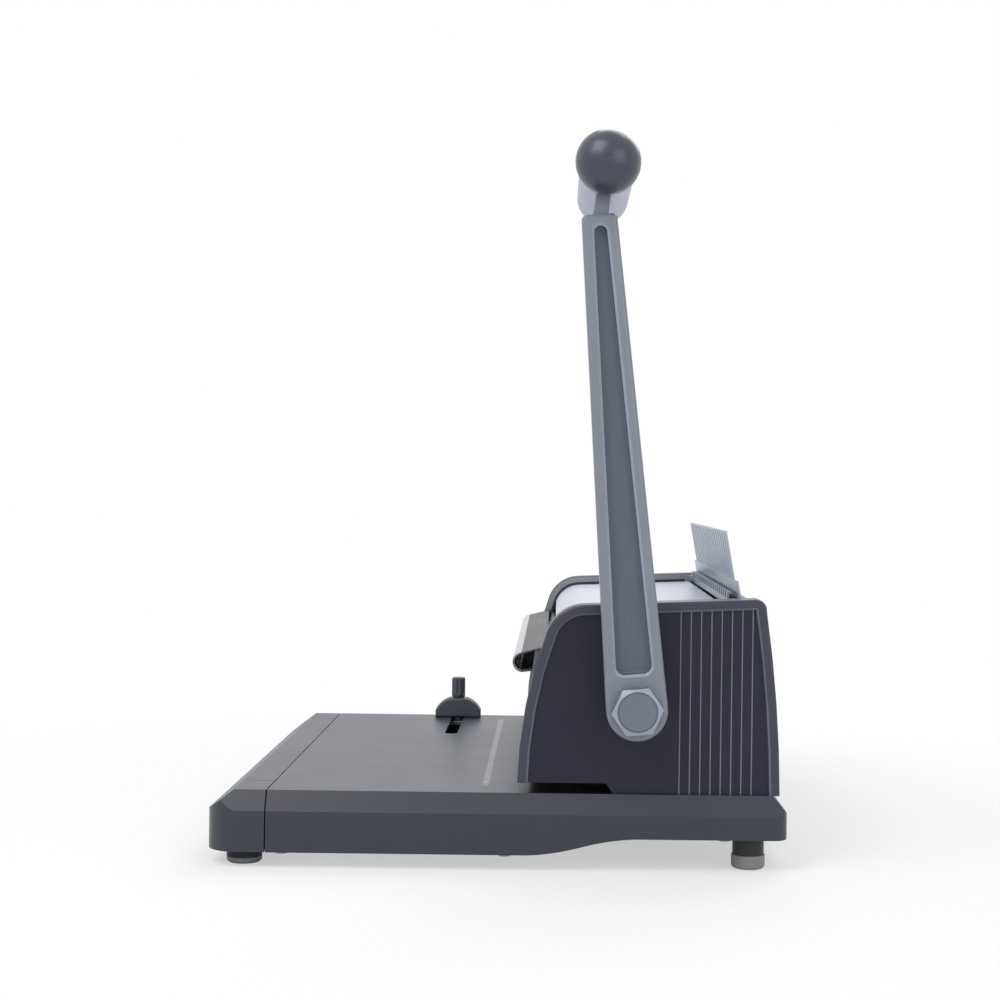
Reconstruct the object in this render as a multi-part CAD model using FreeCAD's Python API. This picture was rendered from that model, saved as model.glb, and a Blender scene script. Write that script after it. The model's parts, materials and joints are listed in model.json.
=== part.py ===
import FreeCAD, Part
import math
import os

# A desk machine that punches a row of slots along a sheaf of paper and opens plastic
# comb rings over it. X runs along the row of slots, with the lever on the +X side, Y runs
# from the open deck in front to the housing at the back, and Z is up from the desk.
# All sizes are in millimetres.

# Base moulding
base_width = 385.0
base_depth = 351.0
deck_height = 46.0
front_clearance = 9.3
rear_clearance = 20.0
rise_before_housing = 0.2
rise_length = 78.0
side_chamfer_in = 6.0
side_chamfer_down = 12.0
front_chamfer_in = 17.0
front_chamfer_down = 13.0
rear_chamfer_in = 8.6
rear_chamfer_down = 10.3
front_corner_radius = 20.0
rear_corner_radius = 9.0
shell_wall = 3.0
front_trim_depth = 37.0
cap_width = 39.5
seam = 0.7
cap_boss_length = 14.0
cap_hole_depth = 12.0
bottom_plate_thickness = 2.0
bottom_plate_recess = 0.7
boss_radius = 5.0
boss_to_wall = 1.0
frame_boss_length = 9.0
cap_web = 2.0

# Feet
foot_inset = 20.0
front_foot_back = 21.5
front_foot_radius = 10.7
rear_foot_in = 22.0
rear_post_radius = 9.6
rear_pad_radius = 10.25
rear_pad_height = 8.5
pad_round = 2.5

# Chip drawer
drawer_guide_width = 3.0
drawer_guide_height = 9.0
drawer_wall = 1.6
drawer_height = 22.7
drawer_behind_punch = 20.0
drawer_top_gap = 1.4
finger_recess_width = 90.0
finger_recess_depth = 14.0
finger_recess_height = 9.0
drawer_screw_from_split = 7.0
drawer_screw_from_side = 40.0

# Housing: two hollow cheeks with a raised rim, and the covers between them
cheek_thickness = 18.0
cheek_depth = 158.7
cheek_height = 118.5
housing_to_base_rear = 4.6
rim_width = 6.3
rim_proud = 2.4
rim_bevel = 1.0
cheek_web = 3.0
front_upright = 4.0
front_bow_in = 3.1
front_bow_down = 74.5
crown_foot_in = 16.8
crown_foot_down = 21.0
crown_middle_in = 25.8
crown_middle_down = 9.3
crown_end_in = 39.8
crown_end_down = 4.5
rear_crown_in = 15.4
rear_middle_in = 11.1
rear_middle_down = 1.9
crown_rear_in = 9.1
crown_rear_down = 7.0
rear_bow_in = 3.3
rear_bow_down = 54.5
outer_fillet = 1.6
upper_post_back = 18.0
upper_post_up = 30.6
rear_post_in = 24.0
rear_post_up = 40.0
lower_post_back = 17.0
lower_post_up = 22.0
below_deck = 60.0
ridge_count = 8
ridge_pitch = 6.23
ridge_width = 0.9
ridge_proud = 0.7
first_ridge_from_rear = 60.9
cover_below_rim = 6.0
cover_sheet = 1.5
cover_rear_edge = 127.3
front_panel = 2.5
front_panel_reach = 45.0
rear_panel = 2.0
rear_panel_inset = 3.0
cover_side_gap = 7.0
housing_gap = 0.5

# Front lip of folded steel
lip_sheet = 1.2
lip_reach = 21.0
lip_height = 86.0
lip_roll_radius = 6.2
lip_slope = 2.6
lip_return = 6.0
lip_return_rise = 0.8
lip_flange = 22.0

# Punching throat and punch unit
throat_height = 6.0
throat_depth = 57.8
throat_end_slant = 4.0
punch_from_front = 52.8
row_margin = 11.6
slot_pitch = 14.2875
slot_length = 8.0
slot_width = 3.0
punch_clearance = 0.1
die_thickness = 6.0
guide_thickness = 8.0
punch_plate_depth = 24.0
pin_rest_above_throat = 3.0
pin_vee = 1.5
pin_seat = 6.0
bar_height = 10.5
bar_depth = 15.0
bar_lift_gap = 0.8
tie_height = 8.0
tie_depth = 14.0
stop_depth = 4.0
frame_sheet = 3.0
frame_foot_width = 12.0
frame_foot_length = 55.0
frame_foot_behind_shaft = 10.0
frame_short_of_rear = 13.0
window_from_rear = 22.0
window_length = 22.0
window_up = 52.0
window_height = 26.0
window_corner = 4.0
end_screw_length = 12.0
end_hole_depth = 11.0
guide_rod_radius = 3.0
guide_rod_from_end = 5.0
spring_from_frame = 58.5
spring_radius = 4.5
spring_wire = 1.4
spring_turns = 6

# Lever shaft and its rack drive
pivot_from_front = 70.8
pivot_height = 53.4
shaft_radius = 7.0
shaft_clearance = 0.05
shaft_flat = 1.5
gear_module = 1.5
gear_teeth = 16
gear_width = 12.0
gear_from_frame = 26.5
pressure_angle = math.radians(20.0)
rack_addendum = 1.35
rack_dedendum = 1.9
gear_backlash = 0.25
rack_width = 10.0
rack_body = 9.3
lever_forward = 75.0
lever_back = 15.0
bush_wall = 3.0
bush_flange = 1.2
clip_thickness = 1.5
shaft_past_frame = 4.5

# Lever arm and grip
arm_lean = 5.1
arm_gap = 9.5
arm_thickness = 16.0
arm_length = 294.0
arm_foot_radius = 18.3
arm_top_half = 10.6
arm_top_round = 3.0
arm_edge_round = 1.8
hub_radius = 15.0
hub_gap = 1.5
pocket_depth = 6.0
pocket_start = 21.5
pocket_below_top = 7.0
pocket_foot_half = 10.5
pocket_top_half = 3.8
pocket_corner = 5.0
pocket_bevel = 1.5
neck_width = 9.4
eye_thickness = 8.0
eye_radius = 13.0
grip_offset = 7.3
grip_above_arm = 28.6
grip_rod_radius = 5.0
grip_ball_radius = 19.3
grip_ball_out = 11.0
grip_tube_radius = 16.7
grip_tube_wall = 3.5
grip_tube_length = 115.0
grip_tube_end_wall = 6.0
grip_plug_length = 9.0
plug_dome_radius = 40.0
plug_dome_height = 3.0
bolt_across_flats = 27.0
bolt_head = 8.0
bolt_chamfer = 1.4
bolt_shank_radius = 4.0
bolt_shank_length = 27.0

# Comb plate and opening hooks
comb_lean = 10.2
comb_sheet = 1.5
comb_from_front = 134.3
comb_root_height = 118.0
comb_above_root = 41.6
comb_below_root = 40.0
comb_shoulder = 6.0
finger_width = 6.0
finger_length = 31.0
finger_corner_in = 1.5
finger_corner_down = 2.0
comb_screw_from_end = 30.0
comb_rail_depth = 10.0
comb_rail_height = 14.0
hook_from_front = 129.0
hook_sheet = 1.5
hook_strip_height = 3.6
hook_height = 4.2
hook_nib = 2.0
hook_nib_height = 1.3
hook_over_cover = 1.0
hook_arm_sheet = 2.5
hook_pin_radius = 2.0
hook_pin_spacing = 10.0
hook_pin_below_strip = 16.5
hook_travel = 28.0

# Edge guide on the deck
guide_slot_width = 9.4
guide_slot_from_side = 10.5
guide_slot_length = 107.0
guide_from_housing = 55.2
guide_block_width = 36.0
guide_block_height = 15.0
guide_block_depth = 14.0
guide_shoulder = 9.0
guide_knob_radius = 5.5
guide_knob_height = 16.0
guide_screw_radius = 2.5
guide_clamp_width = 20.0
guide_clamp_thickness = 3.0
guide_stud_in_knob = 11.0
flute_count = 8
flute_radius = 1.2
flute_start = 3.0

# Screws and general clearance
screw_radius = 2.0
screw_head_radius = 4.0
screw_head = 2.4
screw_bite = 10.0
screw_tip_gap = 0.5
running_gap = 0.3

# Places that follow from the sizes above
front_y = -base_depth / 2
rear_y = base_depth / 2
split_y = front_y + front_trim_depth
half_width = base_width / 2
cap_inner_x = half_width - cap_width
cheek_outer_x = half_width - side_chamfer_in
cheek_inner_x = cheek_outer_x - cheek_thickness
plate_half = cheek_inner_x - housing_gap
cover_half = cheek_inner_x - cover_side_gap
frame_outer_x = cover_half
frame_inner_x = frame_outer_x - frame_sheet
housing_rear_y = rear_y - housing_to_base_rear
housing_y = housing_rear_y - cheek_depth
rise_start = housing_y - rise_before_housing
punch_y = housing_y + punch_from_front
pivot_y = housing_y + pivot_from_front
pivot_z = deck_height + pivot_height
pitch_radius = gear_module * gear_teeth / 2
tooth_pitch = math.pi * gear_module
stroke = pitch_radius * math.radians(lever_forward)
lift = pitch_radius * math.radians(lever_back)
throat_top = deck_height + throat_height
guide_top = throat_top + guide_thickness
bar_bottom = guide_top + stroke + bar_lift_gap
bar_top = bar_bottom + bar_height
slot_count = int(2 * (frame_inner_x - row_margin) / slot_pitch) + 1
gear_place = frame_inner_x - gear_from_frame
spring_place = frame_inner_x - spring_from_frame
rack_top = pivot_z + stroke + tooth_pitch * 1.2
tie_bottom = rack_top + lift + running_gap
die_bottom = deck_height - die_thickness
floor_z = front_clearance + shell_wall
arm_inner_x = cheek_outer_x + arm_gap
arm_outer_x = arm_inner_x + arm_thickness
pocket_end = arm_length - pocket_below_top
grip_distance = arm_length + grip_above_arm
eye_inner_x = arm_inner_x + (arm_thickness - eye_thickness) / 2
eye_outer_x = eye_inner_x + eye_thickness
ball_x = eye_outer_x + grip_ball_out
full_right = ball_x + grip_ball_radius
sideways = (half_width - full_right) / 2
hook_y = housing_y + hook_from_front
comb_y = housing_y + comb_from_front
comb_z = deck_height + comb_root_height
guide_y = housing_y - guide_from_housing
guide_x = -cheek_outer_x + guide_slot_from_side
VIA = True


def point(x, y, z):
    return FreeCAD.Vector(x, y, z)


def block(x, y, z):
    """Box between two values on each axis."""
    return Part.makeBox(x[1] - x[0], y[1] - y[0], z[1] - z[0], point(x[0], y[0], z[0]))


def rod_x(radius, x, y, z):
    return Part.makeCylinder(radius, x[1] - x[0], point(x[0], y, z), point(1, 0, 0))


def rod_y(radius, x, y, z):
    return Part.makeCylinder(radius, y[1] - y[0], point(x, y[0], z), point(0, 1, 0))


def rod_z(radius, x, y, z):
    return Part.makeCylinder(radius, z[1] - z[0], point(x, y, z[0]), point(0, 0, 1))


def closed_face(points, place):
    """Face inside a closed outline. A point marked VIA is the middle of an arc."""
    ring = points + points[:1]
    edges = []
    i = 0
    while i < len(points):
        start = place(*ring[i][:2])
        after = place(*ring[i + 1][:2])
        if len(ring[i + 1]) == 3:
            edges.append(Part.Arc(start, after, place(*ring[i + 2][:2])).toShape())
            i += 2
        else:
            edges.append(Part.makeLine(start, after))
            i += 1
    return Part.Face(Part.Wire(edges))


def side_prism(points, x, inset=0.0):
    """Outline in Y and Z, set in by a wall if asked, carried along X."""
    face = closed_face(points, lambda a, b: point(0, a, b))
    if inset:
        face = face.makeOffset2D(-inset, 2)
    face.translate(point(x[0], 0, 0))
    return face.extrude(point(x[1] - x[0], 0, 0))


def front_prism(points, y, inset=0.0):
    """Outline in X and Z carried along Y."""
    face = closed_face(points, lambda a, b: point(a, 0, b))
    if inset:
        face = face.makeOffset2D(-inset, 2)
    face.translate(point(0, y[0], 0))
    return face.extrude(point(0, y[1] - y[0], 0))


def plan_prism(points, z, inset=0.0):
    """Outline in X and Y carried along Z."""
    face = closed_face(points, lambda a, b: point(a, b, 0))
    if inset:
        face = face.makeOffset2D(-inset, 2)
    face.translate(point(0, 0, z[0]))
    return face.extrude(point(0, 0, z[1] - z[0]))


def fused(shapes):
    """One solid from shapes that touch or cross."""
    result = shapes[0].fuse(shapes[1:]) if len(shapes) > 1 else shapes[0]
    return result.removeSplitter()


def both_sides(shape):
    """The shape and its mirror image across the middle plane."""
    return [shape, shape.mirror(point(0, 0, 0), point(1, 0, 0))]


def slot_places():
    """X of each punched slot, centred on the machine."""
    first = -slot_pitch * (slot_count - 1) / 2
    return [first + slot_pitch * i for i in range(slot_count)]


def screw(place, axis, shank, radius=screw_radius, head_radius=screw_head_radius):
    """Pan head screw: the head's underside is at place and the shank points along axis."""
    head = Part.makeCylinder(head_radius, screw_head, place - axis * screw_head, axis)
    return head.fuse(Part.makeCylinder(radius, shank, place, axis)).removeSplitter()


def rise_points(y, z, length, height):
    """Two arcs that leave level, climb and end level, as points with their middles marked."""
    half_run, half_rise = length / 2, height / 2
    radius = (half_run ** 2 + half_rise ** 2) / (2 * half_rise)
    angle = math.asin(half_run / radius) / 2
    run = radius * math.sin(angle)
    rise = radius * (1 - math.cos(angle))
    return [
        (y, z),
        (y + run, z + rise, VIA),
        (y + half_run, z + half_rise),
        (y + length - run, z + height - rise, VIA),
        (y + length, z + height),
    ]


def underside(lift_by=0.0):
    """The line of the base's underside, from front to rear, raised by a distance."""
    height = rear_clearance - front_clearance
    return rise_points(rise_start, front_clearance + lift_by, rise_length, height)


def base_side_points(open_below):
    below = [(front_y, -half_width), (rear_y, -half_width)]
    closed = [(front_y, front_clearance)] + underside() + [(rear_y, rear_clearance)]
    return (below if open_below else closed) + [
        (rear_y, deck_height - rear_chamfer_down),
        (rear_y - rear_chamfer_in, deck_height),
        (front_y + front_chamfer_in, deck_height),
        (front_y, deck_height - front_chamfer_down),
    ]


def base_end_points(bottom):
    chamfer_z = deck_height - side_chamfer_down
    return [
        (-half_width, bottom),
        (half_width, bottom),
        (half_width, chamfer_z),
        (cheek_outer_x, deck_height),
        (-cheek_outer_x, deck_height),
        (-half_width, chamfer_z),
    ]


def rounded_plan_points():
    """Plan of the base: larger rounds at the front corners than at the rear."""
    corners = [
        (-1, front_y, 1, front_corner_radius),
        (1, front_y, 1, front_corner_radius),
        (1, rear_y, -1, rear_corner_radius),
        (-1, rear_y, -1, rear_corner_radius),
    ]
    points = []
    for number, (side, y, inward, radius) in enumerate(corners):
        short = radius * (1 - math.sqrt(0.5))
        along = (side * (half_width - radius), y)
        across = (side * half_width, y + inward * radius)
        middle = (side * (half_width - short), y + inward * short, VIA)
        turned = number % 2 == 0
        points += [across, middle, along] if turned else [along, middle, across]
    return points


def base_form(inset=0.0, open_below=False):
    """The base's outer form, or the same form set in by a wall."""
    low = -half_width if open_below else 0.0
    reach = (-half_width, half_width)
    side = side_prism(base_side_points(open_below), reach, inset)
    end = front_prism(base_end_points(low - inset), (front_y, rear_y), inset)
    plan = plan_prism(rounded_plan_points(), (low, deck_height), inset)
    return side.common(end).common(plan)


def bottom_screw_places():
    """X and Y of the screws that hold the bottom plate."""
    front = split_y + shell_wall + boss_radius + boss_to_wall
    middle = rise_start - boss_radius - 2 * boss_to_wall
    rear = rear_foot_place()[1] - rear_post_radius - boss_radius - boss_to_wall
    x = half_width - shell_wall - boss_radius - boss_to_wall
    return [(side * x, y) for y in (front, middle, rear) for side in (-1, 1)]


def frame_screw_ys():
    """Y of the screws through each side frame's foot."""
    start = pivot_y + shaft_radius + frame_foot_behind_shaft
    return [start + frame_foot_length * share for share in (0.2, 0.8)]


def plate_underside(y):
    """Height of the bottom plate's lower face at Y."""
    level = front_clearance if y < rise_start + rise_length / 2 else rear_clearance
    return level + bottom_plate_recess


def base_shell():
    """Moulded base: deck, skirt and the wall that the drawer passes through."""
    inner = base_form(shell_wall, open_below=True)
    behind_wall = block((-base_width, base_width), (split_y + shell_wall, rear_y), (-1, deck_height))
    shell = base_form().common(block((-base_width, base_width), (split_y, rear_y), (0, deck_height)))
    shell = shell.cut(inner.common(behind_wall))
    opening_x = cap_inner_x - seam
    opening = block((-opening_x, opening_x), (split_y - 1, split_y + shell_wall + 1),
                    (floor_z - running_gap, floor_z + drawer_height + drawer_top_gap))
    window_x = frame_outer_x + housing_gap
    window_y = punch_plate_depth / 2 + housing_gap
    window = block((-window_x, window_x), (punch_y - window_y, punch_y + window_y),
                   (deck_height - 2 * shell_wall, deck_height + 1))
    bosses = [bottom_boss(x, y) for x, y in bottom_screw_places()]
    bosses += [frame_boss(side, y) for side in (-1, 1) for y in frame_screw_ys()]
    shell = fused([shell.cut(opening).cut(window)] + bosses)
    holes = [rod_z(screw_radius, x, y, (0, deck_height - shell_wall)) for x, y in bottom_screw_places()]
    holes += [rod_z(screw_radius, side * foot_screw_x(), y, (0, deck_height + 1))
              for side in (-1, 1) for y in frame_screw_ys()]
    holes += [rod_y(screw_radius, x, (split_y - 1, split_y + shell_wall + 1), z)
              for x, z in cap_screw_places()]
    return shell.cut(holes + [deck_slot()]).removeSplitter()


def bottom_boss(x, y):
    """Post under the deck that a bottom plate screw bites into."""
    start = plate_underside(y) + bottom_plate_thickness
    post = rod_z(boss_radius, x, y, (start, deck_height))
    return post.common(base_form(shell_wall / 2, open_below=True))


def foot_screw_x():
    return frame_inner_x - frame_foot_width / 2


def frame_boss(side, y):
    low = deck_height - shell_wall - frame_boss_length
    return rod_z(boss_radius, side * foot_screw_x(), y, (low, deck_height - shell_wall / 2))


def cap_screw_places():
    """X and Z of the screws that hold the corner caps to the base's front wall."""
    x = half_width - cap_width / 2
    return [(side * x, floor_z + height) for side in (-1, 1) for height in (8.0, 22.0)]


def deck_slot():
    """Slot with round ends along the left of the deck, where the edge guide runs."""
    radius = guide_slot_width / 2
    left = guide_x - radius
    right = left + guide_slot_length
    height = (deck_height - shell_wall - 1, deck_height + 1)
    middle = block((left + radius, right - radius), (guide_y - radius, guide_y + radius), height)
    ends = [rod_z(radius, x, guide_y, height) for x in (left + radius, right - radius)]
    return fused([middle] + ends)


def base_bottom_plate():
    """Pressed steel bottom that follows the rise of the skirt."""
    gap = running_gap
    front = split_y + shell_wall + gap
    rear = rear_y - shell_wall - gap
    low = underside(bottom_plate_recess)
    high = underside(bottom_plate_recess + bottom_plate_thickness)
    outline = [(front, low[0][1])] + low + [(rear, low[-1][1]), (rear, high[-1][1])]
    outline += high[::-1] + [(front, high[0][1])]
    width = half_width - shell_wall - gap
    plate = side_prism(outline, (-width, width))
    corner = plan_prism(rounded_plan_points(), (0, deck_height), shell_wall + gap)
    plate = plate.common(corner)
    holes = [rod_z(screw_radius + gap, x, y, (0, deck_height)) for x, y in bottom_screw_places()]
    return plate.cut(holes).removeSplitter()


def bottom_screws():
    """Pan head screws, up into the bosses of the base."""
    up = point(0, 0, 1)
    return [screw(point(x, y, plate_underside(y)), up, bottom_plate_thickness + screw_bite)
            for x, y in bottom_screw_places()]


def corner_cap():
    """Hollow cap that closes the right front corner of the base."""
    rear = split_y - seam
    room = block((cap_inner_x, base_width), (front_y, rear), (0, deck_height))
    inside = block((cap_inner_x + shell_wall, base_width), (front_y, rear + 1), (0, deck_height))
    cap = base_form().common(room).cut(base_form(shell_wall).common(inside))
    bosses = []
    for x, z in cap_screw_places():
        if x > 0:
            boss = rod_y(boss_radius, x, (rear - cap_boss_length, rear), z)
            floor = block((x - boss_radius, x + boss_radius), (rear - cap_boss_length, rear),
                          (floor_z - 1, z))
            bosses.append(boss.fuse(floor) if z < deck_height / 2 else boss)
    web_x = half_width - cap_width / 2
    web = block((web_x - cap_web / 2, web_x + cap_web / 2), (rear - cap_boss_length, rear),
                (floor_z - 1, deck_height - shell_wall / 2))
    cap = fused([cap, web] + bosses)
    holes = [rod_y(screw_radius, x, (rear - cap_hole_depth, rear + 1), z)
             for x, z in cap_screw_places() if x > 0]
    foot_x, foot_y = front_foot_place()
    holes.append(rod_z(screw_radius, foot_x, foot_y, (0, floor_z + 1)))
    return cap.cut(holes).removeSplitter()


def cap_screws():
    """Screws through the base's front wall into the corner caps."""
    forward = point(0, -1, 0)
    return [screw(point(x, split_y + shell_wall, z), forward, shell_wall + screw_bite)
            for x, z in cap_screw_places()]


def front_foot_place():
    return half_width - foot_inset, front_y + front_foot_back


def rear_foot_place():
    return half_width - foot_inset, rear_y - rear_foot_in


def front_feet():
    """Round rubber feet, recessed below for their screw."""
    x, y = front_foot_place()
    foot = rod_z(front_foot_radius, x, y, (0, front_clearance))
    foot = foot.makeChamfer(1.5, [edge for edge in foot.Edges if is_ring(edge, 0)])
    foot = foot.cut(rod_z(screw_head_radius + running_gap, x, y, (-1, front_clearance / 2)))
    return both_sides(foot.cut(rod_z(screw_radius, x, y, (-1, deck_height))))


def foot_screws():
    x, y = front_foot_place()
    up = point(0, 0, 1)
    return both_sides(screw(point(x, y, front_clearance / 2), up, front_clearance / 2 + shell_wall))


def is_ring(edge, z):
    """True for a round edge that lies level at height z."""
    box = edge.BoundBox
    return abs(box.ZMin - z) < 0.01 and abs(box.ZMax - z) < 0.01 and len(edge.Vertexes) == 1


def rear_foot_posts():
    """Short posts under the raised rear of the base, with the pad's stem below."""
    x, y = rear_foot_place()
    top = rear_clearance + bottom_plate_recess
    post = rod_z(rear_post_radius, x, y, (rear_pad_height, top))
    stem = rod_z(rear_post_radius / 2, x, y, (rear_pad_height / 2, rear_pad_height))
    return both_sides(fused([post, stem]))


def rear_foot_pads():
    """Grey pads with a rounded lower edge, pushed over the posts' stems."""
    x, y = rear_foot_place()
    pad = rod_z(rear_pad_radius, x, y, (0, rear_pad_height))
    pad = pad.makeFillet(pad_round, [edge for edge in pad.Edges if is_ring(edge, 0)])
    hole = rod_z(rear_post_radius / 2 + punch_clearance, x, y, (rear_pad_height / 2, rear_pad_height + 1))
    return both_sides(pad.cut(hole))


def drawer_front():
    """Hollow front of the chip drawer, with a finger recess under its edge."""
    half = cap_inner_x - seam
    rear = split_y - seam
    front = base_form().common(block((-half, half), (front_y, rear), (0, deck_height)))
    inside_x = half - shell_wall
    inside = block((-inside_x, inside_x), (front_y, rear + 1), (0, deck_height))
    front = front.cut(base_form(shell_wall).common(inside))
    recess_half = finger_recess_width / 2
    top = front_clearance + finger_recess_height
    wall = block((-recess_half - shell_wall, recess_half + shell_wall),
                 (front_y + shell_wall / 2, front_y + finger_recess_depth + shell_wall),
                 (front_clearance, top + shell_wall))
    cut = block((-recess_half, recess_half), (front_y + shell_wall, front_y + finger_recess_depth),
                (0, top))
    holes = [rod_z(screw_radius, x, drawer_screw_y(), (0, floor_z + 1)) for x in drawer_screw_xs()]
    return front.fuse(wall).cut([cut] + holes).removeSplitter()


def drawer_screw_y():
    return split_y - drawer_screw_from_split


def drawer_screw_xs():
    reach = cap_inner_x - drawer_screw_from_side
    return (-reach, 0.0, reach)


def bin_half():
    """Half of the tray's width, so that it fits inside the drawer front."""
    return cap_inner_x - seam - shell_wall - running_gap


def drawer_bin():
    """Long tray under the dies, closed in front by the drawer front; its floor climbs."""
    half = bin_half()
    front = front_y + front_chamfer_in
    rear = punch_y + drawer_behind_punch
    top = floor_z + drawer_height
    outer = side_prism(bin_outline(front, rear, top, 0.0), (-half, half))
    inner_half = half - drawer_wall
    inner = side_prism(bin_outline(front - 1, rear - drawer_wall, top + 1, drawer_wall),
                       (-inner_half, inner_half))
    holes = [rod_z(screw_radius + punch_clearance, x, drawer_screw_y(), (0, top))
             for x in drawer_screw_xs()]
    return outer.cut(inner).cut(holes).removeSplitter()


def bin_outline(front, rear, top, up):
    """Side view of the tray: level floor, a climb that stops short at the rear, open top."""
    lift_by = floor_z - front_clearance + up
    curve = underside(lift_by)
    start, middle = curve[0], curve[2]
    end = curve[4]
    share = (rear - middle[0]) / (end[0] - middle[0])
    if share >= 1:
        climb = curve + [(rear, end[1])]
    else:
        climb = curve[:3] + partial_rise(middle, end, rear)
    return [(front, start[1])] + climb + [(rear, top), (front, top)]


def partial_rise(middle, end, stop_y):
    """The first part of the arc from middle to a level end, up to stop_y."""
    run, rise = end[0] - middle[0], end[1] - middle[1]
    radius = (run ** 2 + rise ** 2) / (2 * rise)
    centre_z = end[1] - radius

    def on_arc(y, *mark):
        return (y, centre_z + math.sqrt(radius ** 2 - (end[0] - y) ** 2)) + mark
    return [on_arc((middle[0] + stop_y) / 2, VIA), on_arc(stop_y)]


def drawer_screws():
    """Screws through the tray's floor into the drawer front."""
    up = point(0, 0, -1)
    shank = drawer_wall + shell_wall - screw_tip_gap
    return [screw(point(x, drawer_screw_y(), floor_z + drawer_wall), up, shank)
            for x in drawer_screw_xs()]


def drawer_guides():
    """Two low bars on the bottom plate that keep the tray straight."""
    low = bin_half() + running_gap
    bar = block((low, low + drawer_guide_width), (split_y + shell_wall + 1, rise_start - boss_radius),
                (front_clearance + bottom_plate_recess + bottom_plate_thickness,
                 floor_z + drawer_guide_height))
    return both_sides(bar)


def cheek_points(bottom):
    """Side view of a cheek: bowed front edge, round crown, nearly level top, bowed rear edge."""
    low, high = deck_height + bottom, deck_height + cheek_height
    points = [
        (housing_y, low),
        (housing_y, deck_height + front_upright),
        (housing_y + front_bow_in, high - front_bow_down, VIA),
        (housing_y + crown_foot_in, high - crown_foot_down),
        (housing_y + crown_middle_in, high - crown_middle_down, VIA),
        (housing_y + crown_end_in, high - crown_end_down),
        (housing_rear_y - rear_crown_in, high),
        (housing_rear_y - rear_middle_in, high - rear_middle_down, VIA),
        (housing_rear_y - crown_rear_in, high - crown_rear_down),
        (housing_rear_y - rear_bow_in, high - rear_bow_down, VIA),
        (housing_rear_y, deck_height),
    ]
    return points + ([(housing_rear_y, low)] if bottom else [])


def cheek_form(x, inset=0.0, bottom=0.0):
    return side_prism(cheek_points(bottom), x, inset)


def cheek_boss_places():
    """Y and Z of the posts that a cheek stands off the side frame on."""
    return [
        (pivot_y + upper_post_back, pivot_z + upper_post_up),
        (housing_rear_y - rear_post_in, deck_height + rear_post_up),
        (pivot_y + lower_post_back, deck_height + lower_post_up),
    ]


def cheek(shaft_hole):
    """Hollow cheek with a raised rim, a recessed face and upright ridges near its rear."""
    solid = cheek_form((cheek_inner_x, cheek_outer_x))
    solid = solid.makeFillet(outer_fillet, outer_rim_edges(solid))
    face_x = cheek_outer_x - rim_proud
    below = -rim_width * 4
    recess = cheek_form((face_x, cheek_outer_x + 1), rim_width, below)
    bevel = bevelled_recess(below)
    hollow = cheek_form((cheek_inner_x - 1, face_x - cheek_web), rim_width, below)
    solid = solid.cut([recess, bevel, hollow])
    pieces = [solid] + ridges(face_x)
    pieces += [rod_x(boss_radius, (frame_outer_x, face_x - 1), y, z) for y, z in cheek_boss_places()]
    holes = [rod_x(screw_radius, (0, frame_outer_x + 10), y, z) for y, z in cheek_boss_places()]
    if shaft_hole:
        holes.append(rod_x(shaft_radius + 1, (0, base_width), pivot_y, pivot_z))
    return fused(pieces).cut(holes + [throat_cut()]).removeSplitter()


def outer_rim_edges(solid):
    """Edges of the cheek's outer face, without the one that stands on the deck."""
    return [edge for edge in solid.Edges
            if edge.BoundBox.XMin > cheek_outer_x - 0.01 and edge.BoundBox.ZMax > deck_height + 0.01]


def bevelled_recess(below):
    """Cutter with sloping sides, for the bright inner edge of the rim."""
    wide = closed_face(cheek_points(below), lambda a, b: point(cheek_outer_x, a, b))
    inner = wide.makeOffset2D(-rim_width, 2).OuterWire
    outer = wide.makeOffset2D(-rim_width + rim_bevel, 2).OuterWire
    inner.translate(point(-rim_bevel, 0, 0))
    return Part.makeLoft([inner, outer], True, True)


def ridges(face_x):
    """Thin upright lines in relief on the recessed face."""
    result = []
    for number in range(ridge_count):
        y = housing_rear_y - first_ridge_from_rear + ridge_pitch * number
        rib = block((face_x - 0.5, face_x + ridge_proud), (y - ridge_width / 2, y + ridge_width / 2),
                    (deck_height, deck_height + cheek_height - 1))
        result.append(rib.common(cheek_form((0, cheek_outer_x), rim_width - 0.5, -rim_width * 4)))
    return result


def throat_cut():
    """Paper throat under the front of a cheek, with a sloping rear end."""
    end = housing_y + throat_depth
    outline = [
        (housing_y - 20, deck_height - 1),
        (end, deck_height - 1),
        (end - throat_end_slant, throat_top),
        (housing_y - 20, throat_top),
    ]
    return side_prism(outline, (0, base_width))


def cover_sheet_form(x, inset, sheet):
    """Bent sheet that follows the cheeks' outline at a distance inside it."""
    below = -(inset + sheet) * 4
    return cheek_form(x, inset, below).cut(cheek_form((x[0] - 1, x[1] + 1), inset + sheet, below))


def top_cover():
    """Bright sheet over the top, curved down at the front, turned down along both sides."""
    x = (-cover_half, cover_half)
    low = deck_height + lip_height + lip_sheet + running_gap + 1.0
    window = block(x, (housing_y, housing_y + cover_rear_edge), (low, deck_height + cheek_height))
    return cover_sheet_form(x, cover_below_rim, cover_sheet).common(window)


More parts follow.
